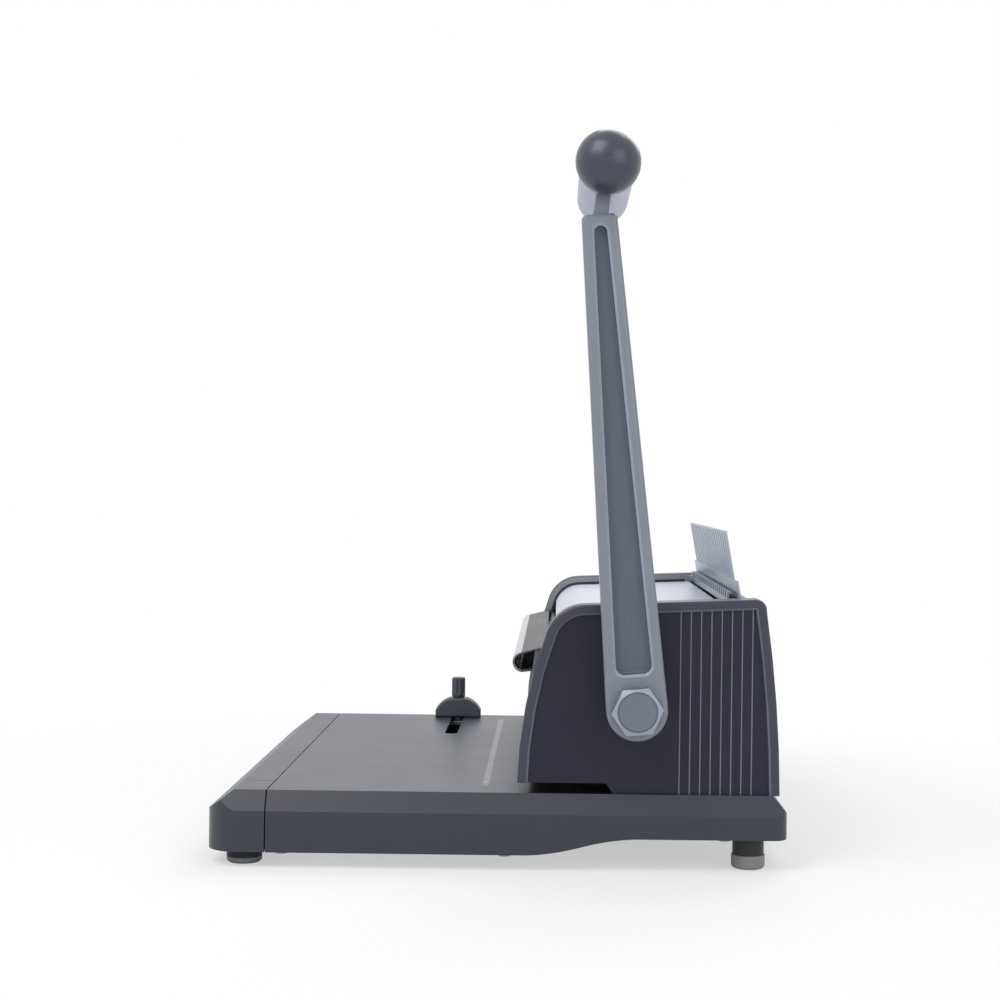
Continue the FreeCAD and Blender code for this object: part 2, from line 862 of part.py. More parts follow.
def lip_profile():
    """Side view of the folded lip: level flange, forward slope, rolled edge, short return."""
    z = deck_height + lip_height
    root_y = housing_y + crown_foot_in
    tip_y = root_y - lip_reach
    roll = lip_roll_radius
    inner = roll - lip_sheet
    centre = (tip_y + roll, z - lip_slope - roll)
    slope_end = (centre[0], centre[1] + roll)
    return [
        (root_y + lip_flange, z + lip_sheet),
        (root_y, z + lip_sheet),
        (slope_end[0], slope_end[1]),
        (centre[0] - roll, centre[1], VIA),
        (centre[0], centre[1] - roll),
        (centre[0] + lip_return, centre[1] - roll + lip_return_rise),
        (centre[0] + lip_return, centre[1] - roll + lip_return_rise + lip_sheet),
        (centre[0], centre[1] - inner),
        (centre[0] - inner, centre[1], VIA),
        (centre[0], centre[1] + inner),
        (root_y, z),
        (root_y + lip_flange, z),
    ]


def front_lip():
    """Folded steel lip over the throat, as long as the space between the cheeks."""
    return side_prism(lip_profile(), (-plate_half, plate_half))


def front_cover():
    """Moulded panel between the throat and the lip, with webs back to the side frames."""
    x = (-plate_half, plate_half)
    top = deck_height + lip_height - running_gap
    window = block(x, (housing_y, housing_y + front_panel_reach), (throat_top + 1, top))
    panel = cover_sheet_form(x, cover_below_rim, front_panel).common(window)
    form = cheek_form((frame_inner_x, frame_outer_x), cover_below_rim + 0.5, -below_deck)
    frame_front = punch_y - punch_plate_depth / 2
    web = form.common(block((0, base_width), (housing_y, frame_front), (throat_top + 1, top)))
    lighter = block((0, base_width), (housing_y + 26, frame_front - 8), (throat_top + 9, top - 12))
    return fused([panel] + both_sides(web.cut(lighter)))


def rear_cover():
    """Plain rear panel with webs to the side frames and a folded top edge."""
    x = (-plate_half, plate_half)
    behind_comb = comb_y + 6
    window = block(x, (behind_comb, rear_y), (deck_height, deck_height + cheek_height))
    panel = cover_sheet_form(x, rear_panel_inset, rear_panel).common(window)
    form = cheek_form((frame_inner_x, frame_outer_x), rear_panel_inset + 0.5, -below_deck)
    web_top = deck_height + cheek_height - 30
    web = form.common(block((0, base_width), (frame_rear_y(), rear_y), (deck_height, web_top)))
    return fused([panel] + both_sides(web))


def frame_rear_y():
    return housing_rear_y - frame_short_of_rear


def right_side_frame():
    """Steel side frame that carries the shaft bush, the plates and the hook slide."""
    x = (frame_inner_x, frame_outer_x)
    front = punch_y - punch_plate_depth / 2
    rear = punch_y + punch_plate_depth / 2
    inset = cover_below_rim + cover_sheet + running_gap
    room = block(x, (front, frame_rear_y()), (deck_height, deck_height + cheek_height))
    plate = cheek_form(x, inset, -below_deck).common(room)
    tongue = block(x, (front, rear), (die_bottom, deck_height + 1))
    foot_start = frame_screw_ys()[0] - frame_foot_length * 0.2
    foot = block((frame_inner_x - frame_foot_width, frame_inner_x + 1),
                 (foot_start, foot_start + frame_foot_length), (deck_height, deck_height + frame_sheet))
    frame = fused([plate, tongue, foot])
    holes = [rod_x(shaft_radius + bush_wall, (0, base_width), pivot_y, pivot_z)]
    holes += [rod_x(screw_radius, (0, base_width), y, z) for y, z in cheek_boss_places()]
    holes += [rod_x(screw_radius, (0, base_width), y, z) for y, z in end_screw_places()]
    holes += [rod_z(screw_radius + 0.2, foot_screw_x(), y, (0, 2 * deck_height)) for y in frame_screw_ys()]
    holes += [hook_slot(), side_window()]
    return frame.cut(holes).removeSplitter()


def side_window():
    """Opening that lightens the rear half of a side frame."""
    rear = frame_rear_y()
    start = rear - window_from_rear - window_length
    low = deck_height + window_up
    size = block((0, base_width), (start, start + window_length), (low, low + window_height))
    return size.makeFillet(window_corner, [edge for edge in size.Edges if edge.BoundBox.XLength > 1])


def hook_pin_places():
    """Y and Z of the pins that the hook plate slides on."""
    rear = hook_y - 2.5
    z = hook_strip_bottom() + hook_strip_height - hook_pin_below_strip
    return [(rear - hook_pin_spacing, z), (rear, z)]


def hook_slot():
    """Slot in a side frame, as long as the pins' spacing and travel."""
    (front, z), (rear, _) = hook_pin_places()
    radius = hook_pin_radius + punch_clearance
    reach = (0, base_width)
    middle = block(reach, (front - hook_travel, rear), (z - radius, z + radius))
    return fused([middle] + [rod_x(radius, reach, y, z) for y in (front - hook_travel, rear)])


def end_screw_places():
    """Y and Z of the screws into the ends of the plates and bars."""
    quarter = punch_plate_depth / 4
    middle_die = deck_height - die_thickness / 2
    middle_guide = throat_top + guide_thickness / 2
    places = [(punch_y + side * quarter, z) for side in (-1, 1) for z in (middle_die, middle_guide)]
    places.append((punch_y, tie_bottom + tie_height / 2))
    places.append(comb_rail_centre())
    return places


def end_screws():
    """Screws through the side frames into the plates and bars between them."""
    inward = point(-1, 0, 0)
    right = [screw(point(frame_outer_x, y, z), inward, end_screw_length) for y, z in end_screw_places()
             if z > deck_height]
    return [one for shape in right for one in both_sides(shape)]


def cheek_screws():
    """Screws from inside the frames into the cheeks' posts."""
    outward = point(1, 0, 0)
    right = [screw(point(frame_inner_x, y, z), outward, frame_sheet + screw_bite - 1)
             for y, z in cheek_boss_places()]
    return [one for shape in right for one in both_sides(shape)]


def frame_screws():
    """Screws through the frames' feet into the deck."""
    down = point(0, 0, -1)
    top = deck_height + frame_sheet
    right = [screw(point(foot_screw_x(), y, top), down, frame_sheet + screw_bite) for y in frame_screw_ys()]
    return [one for shape in right for one in both_sides(shape)]


def drilled_ends(bar, places):
    """A bar between the frames, with a hole in each end for its screws."""
    holes = []
    for y, z in places:
        holes.append(rod_x(screw_radius, (frame_inner_x - end_hole_depth, frame_inner_x + 1), y, z))
        holes.append(rod_x(screw_radius, (-frame_inner_x - 1, end_hole_depth - frame_inner_x), y, z))
    return bar.cut(holes)


def punched_plate(z, clearance):
    """Steel plate between the frames with the row of slots through it."""
    x = (-frame_inner_x, frame_inner_x)
    half = punch_plate_depth / 2
    plate = block(x, (punch_y - half, punch_y + half), z)
    long_half = slot_length / 2 + clearance
    short_half = slot_width / 2 + clearance
    slots = [block((place - long_half, place + long_half),
                   (punch_y - short_half, punch_y + short_half), (z[0] - 1, z[1] + 1))
             for place in slot_places()]
    return plate.cut(slots)


def die_plate():
    """Lower plate, flush with the deck, that the punches shear against."""
    return punched_plate((die_bottom, deck_height), punch_clearance)


def guide_plate():
    """Upper plate that guides the punches and forms the roof of the throat."""
    plate = punched_plate((throat_top, guide_top), punch_clearance)
    places = [place for place in end_screw_places() if throat_top < place[1] < guide_top]
    return drilled_ends(plate, places)


def paper_stop():
    """Bar between the two plates that the paper's edge meets."""
    start = housing_y + throat_depth
    x = (-frame_inner_x, frame_inner_x)
    return block(x, (start, start + stop_depth), (deck_height, throat_top))


def tie_bar():
    """Upper bar between the frames; the guide rods and springs hang from it."""
    x = (-frame_inner_x, frame_inner_x)
    half = tie_depth / 2
    bar = block(x, (punch_y - half, punch_y + half), (tie_bottom, tie_bottom + tie_height))
    return drilled_ends(bar, [(punch_y, tie_bottom + tie_height / 2)])


def rod_place_x():
    return frame_inner_x - guide_rod_from_end


def guide_rods():
    """Upright rods that the punch bar slides on."""
    return both_sides(rod_z(guide_rod_radius, rod_place_x(), punch_y, (guide_top, tie_bottom)))


def return_springs():
    """Pull springs of square wire from the tie bar down to the punch bar."""
    length = tie_bottom - bar_top - spring_wire
    helix = Part.makeHelix(length / spring_turns, length, spring_radius)
    half = spring_wire / 2
    near, far = spring_radius - half, spring_radius + half
    corners = [(near, -half), (far, -half), (far, half), (near, half)]
    section = closed_face(corners, lambda a, b: point(a, 0, b)).OuterWire
    coil = Part.Wire(helix.Edges).makePipeShell([section], True, True)
    coil.translate(point(spring_place, punch_y, bar_top + half))
    return both_sides(coil)


def punch_bar():
    """Heavy bar that drives all the punches."""
    half = frame_inner_x - running_gap
    y = (punch_y - bar_depth / 2, punch_y + bar_depth / 2)
    bar = block((-half, half), y, (bar_bottom, bar_top))
    pockets = [pin_block(x, bar_bottom + pin_seat, punch_clearance / 2) for x in slot_places()]
    rods = [rod_z(guide_rod_radius + punch_clearance, side * rod_place_x(), punch_y, (0, 2 * bar_top))
            for side in (-1, 1)]
    return bar.cut(pockets + rods)


def pin_block(x, top, around=0.0):
    """Upright block of a punch's section, or a little larger for its pocket."""
    long_half = slot_length / 2 + around
    short_half = slot_width / 2 + around
    bottom = throat_top + pin_rest_above_throat
    outline = [
        (x - long_half, bottom),
        (x, bottom + pin_vee),
        (x + long_half, bottom),
        (x + long_half, top),
        (x - long_half, top),
    ]
    return front_prism(outline, (punch_y - short_half, punch_y + short_half))


def punch_pins():
    """Row of flat punches with a notched end, seated in the bar."""
    return [pin_block(x, bar_bottom + pin_seat) for x in slot_places()]


def rack():
    """Upright rack on the punch bar; its teeth face the shaft."""
    pitch_y = pivot_y - pitch_radius
    root = pitch_y - rack_dedendum
    tip = pitch_y + rack_addendum
    slope = math.tan(pressure_angle)
    half_pitch_line = tooth_pitch / 4 - gear_backlash / 2
    points = [(root - rack_body, bar_top), (root, bar_top)]
    number = math.ceil((bar_top - pivot_z) / tooth_pitch + 0.5)
    while pivot_z + tooth_pitch * (number + 0.5) < rack_top:
        z = pivot_z + tooth_pitch * number
        foot = half_pitch_line + rack_dedendum * slope
        crest = half_pitch_line - rack_addendum * slope
        points += [(root, z - foot), (tip, z - crest), (tip, z + crest), (root, z + foot)]
        number += 1
    points += [(root, rack_top), (root - rack_body, rack_top)]
    middle = gear_place
    return side_prism(points, (middle - rack_width / 2, middle + rack_width / 2))


def punch_racks():
    return both_sides(rack())


def pinion():
    """Spur pinion with involute teeth; a space faces the rack at rest."""
    root = pitch_radius - 1.25 * gear_module
    tip = pitch_radius + gear_module
    base = pitch_radius * math.cos(pressure_angle)
    half_tooth = (tooth_pitch / 2 - gear_backlash) / (2 * pitch_radius)
    pitch_involute = math.tan(pressure_angle) - pressure_angle

    def half_angle(radius):
        angle = math.acos(min(1.0, base / radius))
        return half_tooth + pitch_involute - (math.tan(angle) - angle)

    def at(radius, angle, *mark):
        return (pivot_y + radius * math.cos(angle), pivot_z + radius * math.sin(angle)) + mark

    points = []
    step = 2 * math.pi / gear_teeth
    mid_radius = (base + tip) / 2
    for number in range(gear_teeth):
        centre = math.pi + step * (number + 0.5)
        points += [
            at(root, centre - half_angle(base)),
            at(base, centre - half_angle(base)),
            at(mid_radius, centre - half_angle(mid_radius), VIA),
            at(tip, centre - half_angle(tip)),
            at(tip, centre + half_angle(tip)),
            at(mid_radius, centre + half_angle(mid_radius), VIA),
            at(base, centre + half_angle(base)),
            at(root, centre + half_angle(base)),
        ]
    x = (gear_place - gear_width / 2, gear_place + gear_width / 2)
    bore = rod_x(shaft_radius + shaft_clearance, (0, base_width), pivot_y, pivot_z)
    return side_prism(points, x).cut(bore)


def shaft_end_x():
    return arm_outer_x - arm_thickness / 4


def main_shaft():
    """Shaft right across the machine, with a flat where the lever sits."""
    x = (-frame_outer_x - shaft_past_frame, shaft_end_x())
    shaft = rod_x(shaft_radius, x, pivot_y, pivot_z)
    edge = pivot_y + shaft_radius - shaft_flat
    flat = block((arm_inner_x - arm_gap + hub_gap, base_width), (edge, edge + 9), (pivot_z - 9, pivot_z + 9))
    thread = rod_x(bolt_shank_radius, (arm_outer_x - bolt_shank_length, base_width), pivot_y, pivot_z)
    return shaft.cut([flat, thread])


def shaft_bushes():
    """Flanged bushes in the side frames."""
    flange = rod_x(shaft_radius + bush_wall + 2, (frame_inner_x - bush_flange, frame_inner_x),
                   pivot_y, pivot_z)
    sleeve = rod_x(shaft_radius + bush_wall, (frame_inner_x, frame_outer_x + 1), pivot_y, pivot_z)
    bore = rod_x(shaft_radius + shaft_clearance, (0, base_width), pivot_y, pivot_z)
    return both_sides(fused([flange, sleeve]).cut(bore))


def shaft_clip():
    """Retaining ring on the shaft's far end."""
    start = -frame_outer_x - 1 - running_gap - clip_thickness
    ring = rod_x(shaft_radius + 3, (start, start + clip_thickness), pivot_y, pivot_z)
    return ring.cut(rod_x(shaft_radius + shaft_clearance, (start - 1, start + 9), pivot_y, pivot_z))


def swung(shape):
    """Carry a shape made about an upright arm to the lever's leaning rest place."""
    shape.rotate(point(0, 0, 0), point(1, 0, 0), arm_lean)
    shape.translate(point(0, pivot_y, pivot_z))
    return shape


def arm_points(inset=0.0):
    """Outline of the arm: round foot, straight taper, small corners at the top."""
    foot, top = arm_foot_radius - inset, arm_top_half - inset
    end = arm_length - inset
    lean = math.asin((foot - top) / end)
    bulge, rise = foot * math.cos(lean), foot * math.sin(lean)
    cut = arm_top_round
    short = cut * (1 - math.sqrt(0.5))
    return [
        (bulge, rise),
        (top, end - cut),
        (top - short, end - short, VIA),
        (top - cut, end),
        (cut - top, end),
        (short - top, end - short, VIA),
        (-top, end - cut),
        (-bulge, rise),
        (0, -foot, VIA),
    ]


def pocket_points(grow=0.0):
    """Outline of the arm's pocket: round at the top, wider and square at the foot."""
    foot, top = pocket_foot_half + grow, pocket_top_half + grow
    low, high = pocket_start - grow, pocket_end - pocket_top_half
    corner = pocket_corner
    short = corner * (1 - math.sqrt(0.5))
    return [
        (corner - foot, low),
        (foot - corner, low),
        (foot - short, low + short, VIA),
        (foot, low + corner),
        (top, high),
        (0, high + top, VIA),
        (-top, high),
        (-foot, low + corner),
        (short - foot, low + short, VIA),
    ]


def lever_arm():
    """Cast arm with a long pocket, a hub on its inner side and an eye for the grip."""
    arm = side_prism(arm_points(), (arm_inner_x, arm_outer_x))
    rims = [edge for edge in arm.Edges if edge.BoundBox.XLength < 0.01]
    arm = arm.makeFillet(arm_edge_round, rims)
    place = point(arm_outer_x, 0, 0)
    wide = closed_face(pocket_points(pocket_bevel), lambda a, b: point(0, a, b)).OuterWire
    narrow = closed_face(pocket_points(), lambda a, b: point(0, a, b)).OuterWire
    wide.translate(place)
    narrow.translate(place - point(pocket_bevel, 0, 0))
    bevel = Part.makeLoft([narrow, wide], True, True)
    pocket = side_prism(pocket_points(), (arm_outer_x - pocket_depth, arm_outer_x + 1))
    arm = arm.cut([bevel, pocket])
    hub = rod_x(hub_radius, (arm_inner_x - arm_gap + hub_gap, arm_inner_x + 1), 0, 0)
    arm = fused([arm, hub, grip_neck(), grip_eye()])
    edge = shaft_radius - shaft_flat + shaft_clearance
    bore = rod_x(shaft_radius + shaft_clearance, (0, shaft_end_x() + shaft_clearance), 0, 0)
    through = rod_x(bolt_shank_radius + shaft_clearance, (0, base_width), 0, 0)
    rod = rod_x(grip_rod_radius + shaft_clearance, (0, base_width), grip_offset, grip_distance)
    flat = block((0, base_width), (pivot_y + edge, pivot_y + 2 * shaft_radius),
                 (pivot_z - shaft_radius, pivot_z + shaft_radius))
    return swung(arm.cut([through, rod])).cut(swung(bore).cut(flat)).removeSplitter()


def grip_neck():
    """Narrow slanting neck from the top of the arm to the eye."""
    half = neck_width / 2
    outline = [
        (-half, arm_length - 4),
        (half, arm_length - 4),
        (grip_offset + half, grip_distance),
        (grip_offset - half, grip_distance),
    ]
    return side_prism(outline, (eye_inner_x, eye_outer_x))


def grip_eye():
    return rod_x(eye_radius, (eye_inner_x, eye_outer_x), grip_offset, grip_distance)


def lever_bolt():
    """Large hexagon bolt that holds the arm on the shaft."""
    across = bolt_across_flats / math.sqrt(3)
    corners = [(across * math.cos(math.radians(60 * i)), across * math.sin(math.radians(60 * i)))
               for i in range(6)]
    head = side_prism(corners, (arm_outer_x, arm_outer_x + bolt_head))
    crown = Part.makeCone(across + 0.2, bolt_across_flats / 2 - 0.6, bolt_chamfer,
                          point(arm_outer_x + bolt_head - bolt_chamfer, 0, 0), point(1, 0, 0))
    body = rod_x(across + 1, (arm_outer_x, arm_outer_x + bolt_head - bolt_chamfer), 0, 0)
    head = head.common(body.fuse(crown))
    shank = rod_x(bolt_shank_radius, (arm_outer_x - bolt_shank_length + 1, arm_outer_x + 1), 0, 0)
    return swung(fused([head, shank]))


def grip_rod():
    """Steel rod through the eye that carries the ball and the tube."""
    x = (eye_inner_x - grip_tube_length + grip_plug_length, eye_outer_x + grip_ball_out)
    return swung(rod_x(grip_rod_radius, x, grip_offset, grip_distance))


def grip_ball():
    """Dark ball on the outer end, flat where it meets the eye."""
    centre = point(ball_x, grip_offset, grip_distance)
    ball = Part.makeSphere(grip_ball_radius, centre)
    room = block((eye_outer_x, 2 * base_width), (-arm_length, arm_length), (0, 2 * grip_distance))
    ball = ball.common(room)
    hole = rod_x(grip_rod_radius + shaft_clearance, (0, ball_x), grip_offset, grip_distance)
    return swung(ball.cut(hole))


def grip_tube():
    """Smooth sleeve that the hand holds, over the machine."""
    x = (eye_inner_x - grip_tube_length, eye_inner_x)
    tube = rod_x(grip_tube_radius, x, grip_offset, grip_distance)
    wall = rod_x(grip_tube_radius - grip_tube_wall, (x[0] - 1, x[1] - grip_tube_end_wall),
                 grip_offset, grip_distance)
    hole = rod_x(grip_rod_radius + shaft_clearance, (0, base_width), grip_offset, grip_distance)
    return swung(tube.cut([wall, hole]))


def grip_plug():
    """Domed plug in the sleeve's inner end; it also centres the rod."""
    x = eye_inner_x - grip_tube_length
    fit = grip_tube_radius - grip_tube_wall - shaft_clearance
    plug = rod_x(fit, (x, x + grip_plug_length), grip_offset, grip_distance)
    middle = point(x + plug_dome_radius - plug_dome_height, grip_offset, grip_distance)
    dome = Part.makeSphere(plug_dome_radius, middle)
    cap = dome.common(rod_x(grip_tube_radius, (x - 2 * plug_dome_height, x), grip_offset, grip_distance))
    hole = rod_x(grip_rod_radius + shaft_clearance, (x + grip_plug_length / 2, base_width),
                 grip_offset, grip_distance)
    return swung(fused([plug, cap]).cut(hole))


def leaned(shape):
    """Carry a shape made about an upright comb plate to its leaning place."""
    shape.rotate(point(0, 0, 0), point(1, 0, 0), comb_lean)
    shape.translate(point(0, comb_y, comb_z))
    return shape


def comb_plate():
    """Upright steel comb: a row of fingers that hold the back of a ring binding."""
    y = (0, comb_sheet)
    root = comb_above_root - finger_length
    wide = block((-plate_half, plate_half), y, (-comb_shoulder, root))
    low_half = frame_inner_x - running_gap
    lower = block((-low_half, low_half), y, (-comb_below_root, -comb_shoulder + 1))
    fingers = [comb_finger(x, root) for x in slot_places()]
    holes = [rod_y(screw_radius + 0.2, x, (-5, 5), comb_rail_up()) for x in comb_screw_xs()]
    return leaned(fused([wide, lower] + fingers).cut(holes))


def comb_finger(x, root):
    """One finger with its top corners taken off."""
    half, top = finger_width / 2, comb_above_root
    outline = [
        (x - half, root - 1),
        (x + half, root - 1),
        (x + half, top - finger_corner_down),
        (x + half - finger_corner_in, top),
        (x - half + finger_corner_in, top),
        (x - half, top - finger_corner_down),
    ]
    return front_prism(outline, (0, comb_sheet))


def comb_rail_up():
    return comb_rail_height / 2 - comb_below_root


def comb_rail_centre():
    """Y and Z of the comb rail's middle once it leans."""
    angle = math.radians(comb_lean)
    y, z = -comb_rail_depth / 2, comb_rail_up()
    return (comb_y + y * math.cos(angle) - z * math.sin(angle),
            comb_z + y * math.sin(angle) + z * math.cos(angle))


def comb_screw_xs():
    reach = frame_inner_x - comb_screw_from_end
    return [-reach, -reach / 3, reach / 3, reach]


def comb_rail():
    """Bar between the frames that the comb plate is screwed to."""
    x = (-frame_inner_x, frame_inner_x)
    rail = block(x, (-comb_rail_depth, 0), (-comb_below_root, comb_rail_height - comb_below_root))
    holes = [rod_y(screw_radius, place, (-8, 1), comb_rail_up()) for place in comb_screw_xs()]
    return drilled_ends(leaned(rail.cut(holes)), [comb_rail_centre()])


def comb_screws():
    """Screws from behind through the comb plate into its rail."""
    forward = point(0, -1, 0)
    return [leaned(screw(point(x, comb_sheet, comb_rail_up()), forward, comb_sheet + 6))
            for x in comb_screw_xs()]


def hook_strip_bottom():
    """The strip's lower edge, clear above the rear of the top cover."""
    share = (cover_rear_edge - crown_end_in) / (cheek_depth - rear_crown_in - crown_end_in)
    cover_top = cheek_height - crown_end_down * (1 - share) - cover_below_rim
    return deck_height + cover_top + hook_over_cover


def comb_hook_plate():
    """Strip with a row of hooks that pulls the rings open, and an arm down each end."""
    low = hook_strip_bottom()
    top = low + hook_strip_height
    side = cheek_inner_x - (cover_side_gap - hook_arm_sheet) / 2
    strip = block((-side, side), (hook_y, hook_y + hook_sheet), (low, top))
    hooks = [hook(x, top) for x in slot_places()]
    (front, z), (rear, _) = hook_pin_places()
    back = hook_y + hook_sheet
    outline = [
        (front - 4, z - 4),
        (back, z - 4),
        (back, top),
        (hook_y - 3, top),
        (hook_y - 7, z + 5),
        (front - 4, z + 5),
    ]
    arm = side_prism(outline, (side - hook_arm_sheet, side))
    holes = [rod_x(hook_pin_radius, (0, base_width), y, z) for y in (front, rear)]
    return fused([strip] + hooks + both_sides(arm.cut(holes)))


def hook(x, root):
    """One hook, a thin upright with a nib bent back towards the comb."""
    top = root + hook_height
    back = hook_y + hook_sheet
    outline = [
        (hook_y, root - 1),
        (back, root - 1),
        (back, top - hook_nib_height),
        (back + hook_nib, top - hook_nib_height),
        (back + hook_nib, top),
        (hook_y, top),
    ]
    return side_prism(outline, (x - finger_width / 2, x + finger_width / 2))


def hook_pins():
    """Pins that carry the hook plate in the slots of the side frames."""
    side = cheek_inner_x - (cover_side_gap - hook_arm_sheet) / 2
    x = (frame_inner_x - 1.5, side)
    right = [rod_x(hook_pin_radius, x, y, z) for y, z in hook_pin_places()]
    return [one for shape in right for one in both_sides(shape)]


def edge_guide_block():
    """Block with round shoulders that squares the paper, riding in the deck's slot."""
    x = (guide_x - guide_block_depth / 2, guide_x + guide_block_depth / 2)
    half = guide_block_width / 2
    low = deck_height + running_gap
    top = low + guide_block_height
    turn = guide_shoulder
    short = turn * (1 - math.sqrt(0.5))
    outline = [
        (guide_y - half, low),
        (guide_y + half, low),
        (guide_y + half, top - turn),
        (guide_y + half - short, top - short, VIA),
        (guide_y + half - turn, top),
        (guide_y - half + turn, top),
        (guide_y - half + short, top - short, VIA),
        (guide_y - half, top - turn),
    ]
    body = side_prism(outline, x)
    key = rod_z(guide_slot_width / 2 - running_gap, guide_x, guide_y,
                (deck_height - shell_wall + 0.5, low + 1))
    hole = rod_z(guide_screw_radius + punch_clearance, guide_x, guide_y, (0, 2 * deck_height))
    return fused([body, key]).cut(hole)


def guide_top_z():
    return deck_height + running_gap + guide_block_height


def edge_guide_knob():
    """Fluted thumb nut on the stud that comes up through the block."""
    base = guide_top_z() + running_gap
    top = base + guide_knob_height
    knob = rod_z(guide_knob_radius, guide_x, guide_y, (base, top))
    bore = rod_z(guide_screw_radius + punch_clearance, guide_x, guide_y,
                 (base - 1, base + guide_stud_in_knob))
    reach = guide_knob_radius + flute_radius / 2
    flutes = []
    for number in range(flute_count):
        angle = 2 * math.pi * number / flute_count
        flutes.append(rod_z(flute_radius, guide_x + reach * math.cos(angle),
                            guide_y + reach * math.sin(angle), (base + flute_start, top + 1)))
    return knob.cut(flutes + [bore])


def edge_guide_clamp():
    """Plate under the deck, with the stud that the thumb nut draws up."""
    top = deck_height - shell_wall - running_gap
    half = guide_clamp_width / 2
    reach = guide_block_depth / 2 - 2
    plate = block((guide_x - reach, guide_x + reach), (guide_y - half, guide_y + half),
                  (top - guide_clamp_thickness, top))
    stud = rod_z(guide_screw_radius, guide_x, guide_y, (top - 1, guide_top_z() + guide_stud_in_knob))
    return fused([plate, stud])


def mirrored(shape):
    return both_sides(shape)[1]


def save(node, shapes):
    """Write one node, moved sideways so that the whole machine is centred on X."""
    group = shapes if isinstance(shapes, list) else [shapes]
    solids = [solid for shape in group for solid in shape.Solids]
    for solid in solids:
        solid.translate(point(sideways, 0, 0))
    Part.makeCompound(solids).exportStep(os.path.join("parts", node + ".step"))
    good = all(solid.isValid() for solid in solids)
    print(node, len(solids), "solids", round(sum(s.Volume for s in solids)), "mm3", good)


def build():
    os.makedirs("parts", exist_ok=True)
    cap = corner_cap()
    frame = right_side_frame()
    gear = pinion()
    save("base_shell", base_shell())
    save("base_bottom_plate", base_bottom_plate())
    save("bottom_screws", bottom_screws())
    save("left_corner_cap", mirrored(cap))
    save("right_corner_cap", cap)
    save("cap_screws", cap_screws())
    save("front_feet", front_feet())
    save("foot_screws", foot_screws())
    save("rear_foot_posts", rear_foot_posts())
    save("rear_foot_pads", rear_foot_pads())
    save("drawer_front", drawer_front())
    save("drawer_bin", drawer_bin())
    save("drawer_screws", drawer_screws())
    save("drawer_guides", drawer_guides())
    save("left_cheek", mirrored(cheek(shaft_hole=False)))
    save("right_cheek", cheek(shaft_hole=True))
    save("cheek_screws", cheek_screws())
    save("top_cover", top_cover())
    save("front_cover", front_cover())
    save("rear_cover", rear_cover())
    save("front_lip", front_lip())
    save("left_side_frame", mirrored(frame))
    save("right_side_frame", frame)
    save("frame_screws", frame_screws())
    save("end_screws", end_screws())
    save("die_plate", die_plate())
    save("guide_plate", guide_plate())
    save("paper_stop", paper_stop())
    save("tie_bar", tie_bar())
    save("guide_rods", guide_rods())
    save("return_springs", return_springs())
    save("punch_bar", punch_bar())
    save("punch_pins", punch_pins())
    save("punch_racks", punch_racks())
    save("left_pinion", mirrored(gear))
    save("right_pinion", gear)
    save("main_shaft", main_shaft())
    save("shaft_bushes", shaft_bushes())
    save("shaft_clip", shaft_clip())
    save("lever_arm", lever_arm())
    save("lever_bolt", lever_bolt())
    save("grip_rod", grip_rod())
    save("grip_ball", grip_ball())
    save("grip_tube", grip_tube())
    save("grip_plug", grip_plug())
    save("comb_plate", comb_plate())
    save("comb_rail", comb_rail())
    save("comb_screws", comb_screws())
    save("comb_hook_plate", comb_hook_plate())
    save("hook_pins", hook_pins())
    save("edge_guide_block", edge_guide_block())
    save("edge_guide_knob", edge_guide_knob())
    save("edge_guide_clamp", edge_guide_clamp())


build()
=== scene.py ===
"""Finished look of a desk punch for plastic comb rings, built on its CAD frame."""
import json
import logging
import math
from dataclasses import dataclass, field
from enum import Enum
from typing import Callable, Sequence

import bmesh
import bpy
import numpy as np
from mathutils import Matrix, Vector
from mathutils.geometry import tessellate_polygon


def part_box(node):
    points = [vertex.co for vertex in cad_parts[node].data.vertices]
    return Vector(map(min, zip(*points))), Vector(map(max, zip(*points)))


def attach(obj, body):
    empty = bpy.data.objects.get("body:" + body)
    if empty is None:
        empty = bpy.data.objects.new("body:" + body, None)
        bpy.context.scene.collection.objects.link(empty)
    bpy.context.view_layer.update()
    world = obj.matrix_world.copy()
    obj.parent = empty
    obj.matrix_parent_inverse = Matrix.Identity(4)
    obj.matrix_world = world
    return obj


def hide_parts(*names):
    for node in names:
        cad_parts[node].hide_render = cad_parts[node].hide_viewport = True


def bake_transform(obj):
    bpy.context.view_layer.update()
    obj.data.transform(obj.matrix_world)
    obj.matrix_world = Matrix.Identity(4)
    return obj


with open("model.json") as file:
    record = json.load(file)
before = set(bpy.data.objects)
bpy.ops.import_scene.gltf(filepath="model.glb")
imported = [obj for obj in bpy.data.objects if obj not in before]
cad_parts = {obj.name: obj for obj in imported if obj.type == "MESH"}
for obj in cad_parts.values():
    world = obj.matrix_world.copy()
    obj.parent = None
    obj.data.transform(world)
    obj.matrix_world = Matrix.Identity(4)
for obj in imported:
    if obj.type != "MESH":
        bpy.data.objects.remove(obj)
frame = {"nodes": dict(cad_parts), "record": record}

logging.basicConfig(level=logging.INFO, format="%(name)s: %(message)s")
LOG = logging.getLogger("comb_punch")
MM = 0.001
BASE_X = -22.9  # the base's middle in the row frame, in millimetres
DECK = 46.0  # height of the deck
QUARTER = math.pi / 2
CUT = 1 - math.sqrt(0.5)  # how far a round corner's middle lies from both sides, per radius
ARC_STEP = math.radians(6)
WELD = 0.002 * MM
Pair = tuple[float, float]
Rgb = tuple[int, int, int]
Xyz = tuple[float, float, float]
Socket = bpy.types.NodeSocket
Entry = Socket | float | Sequence[float]


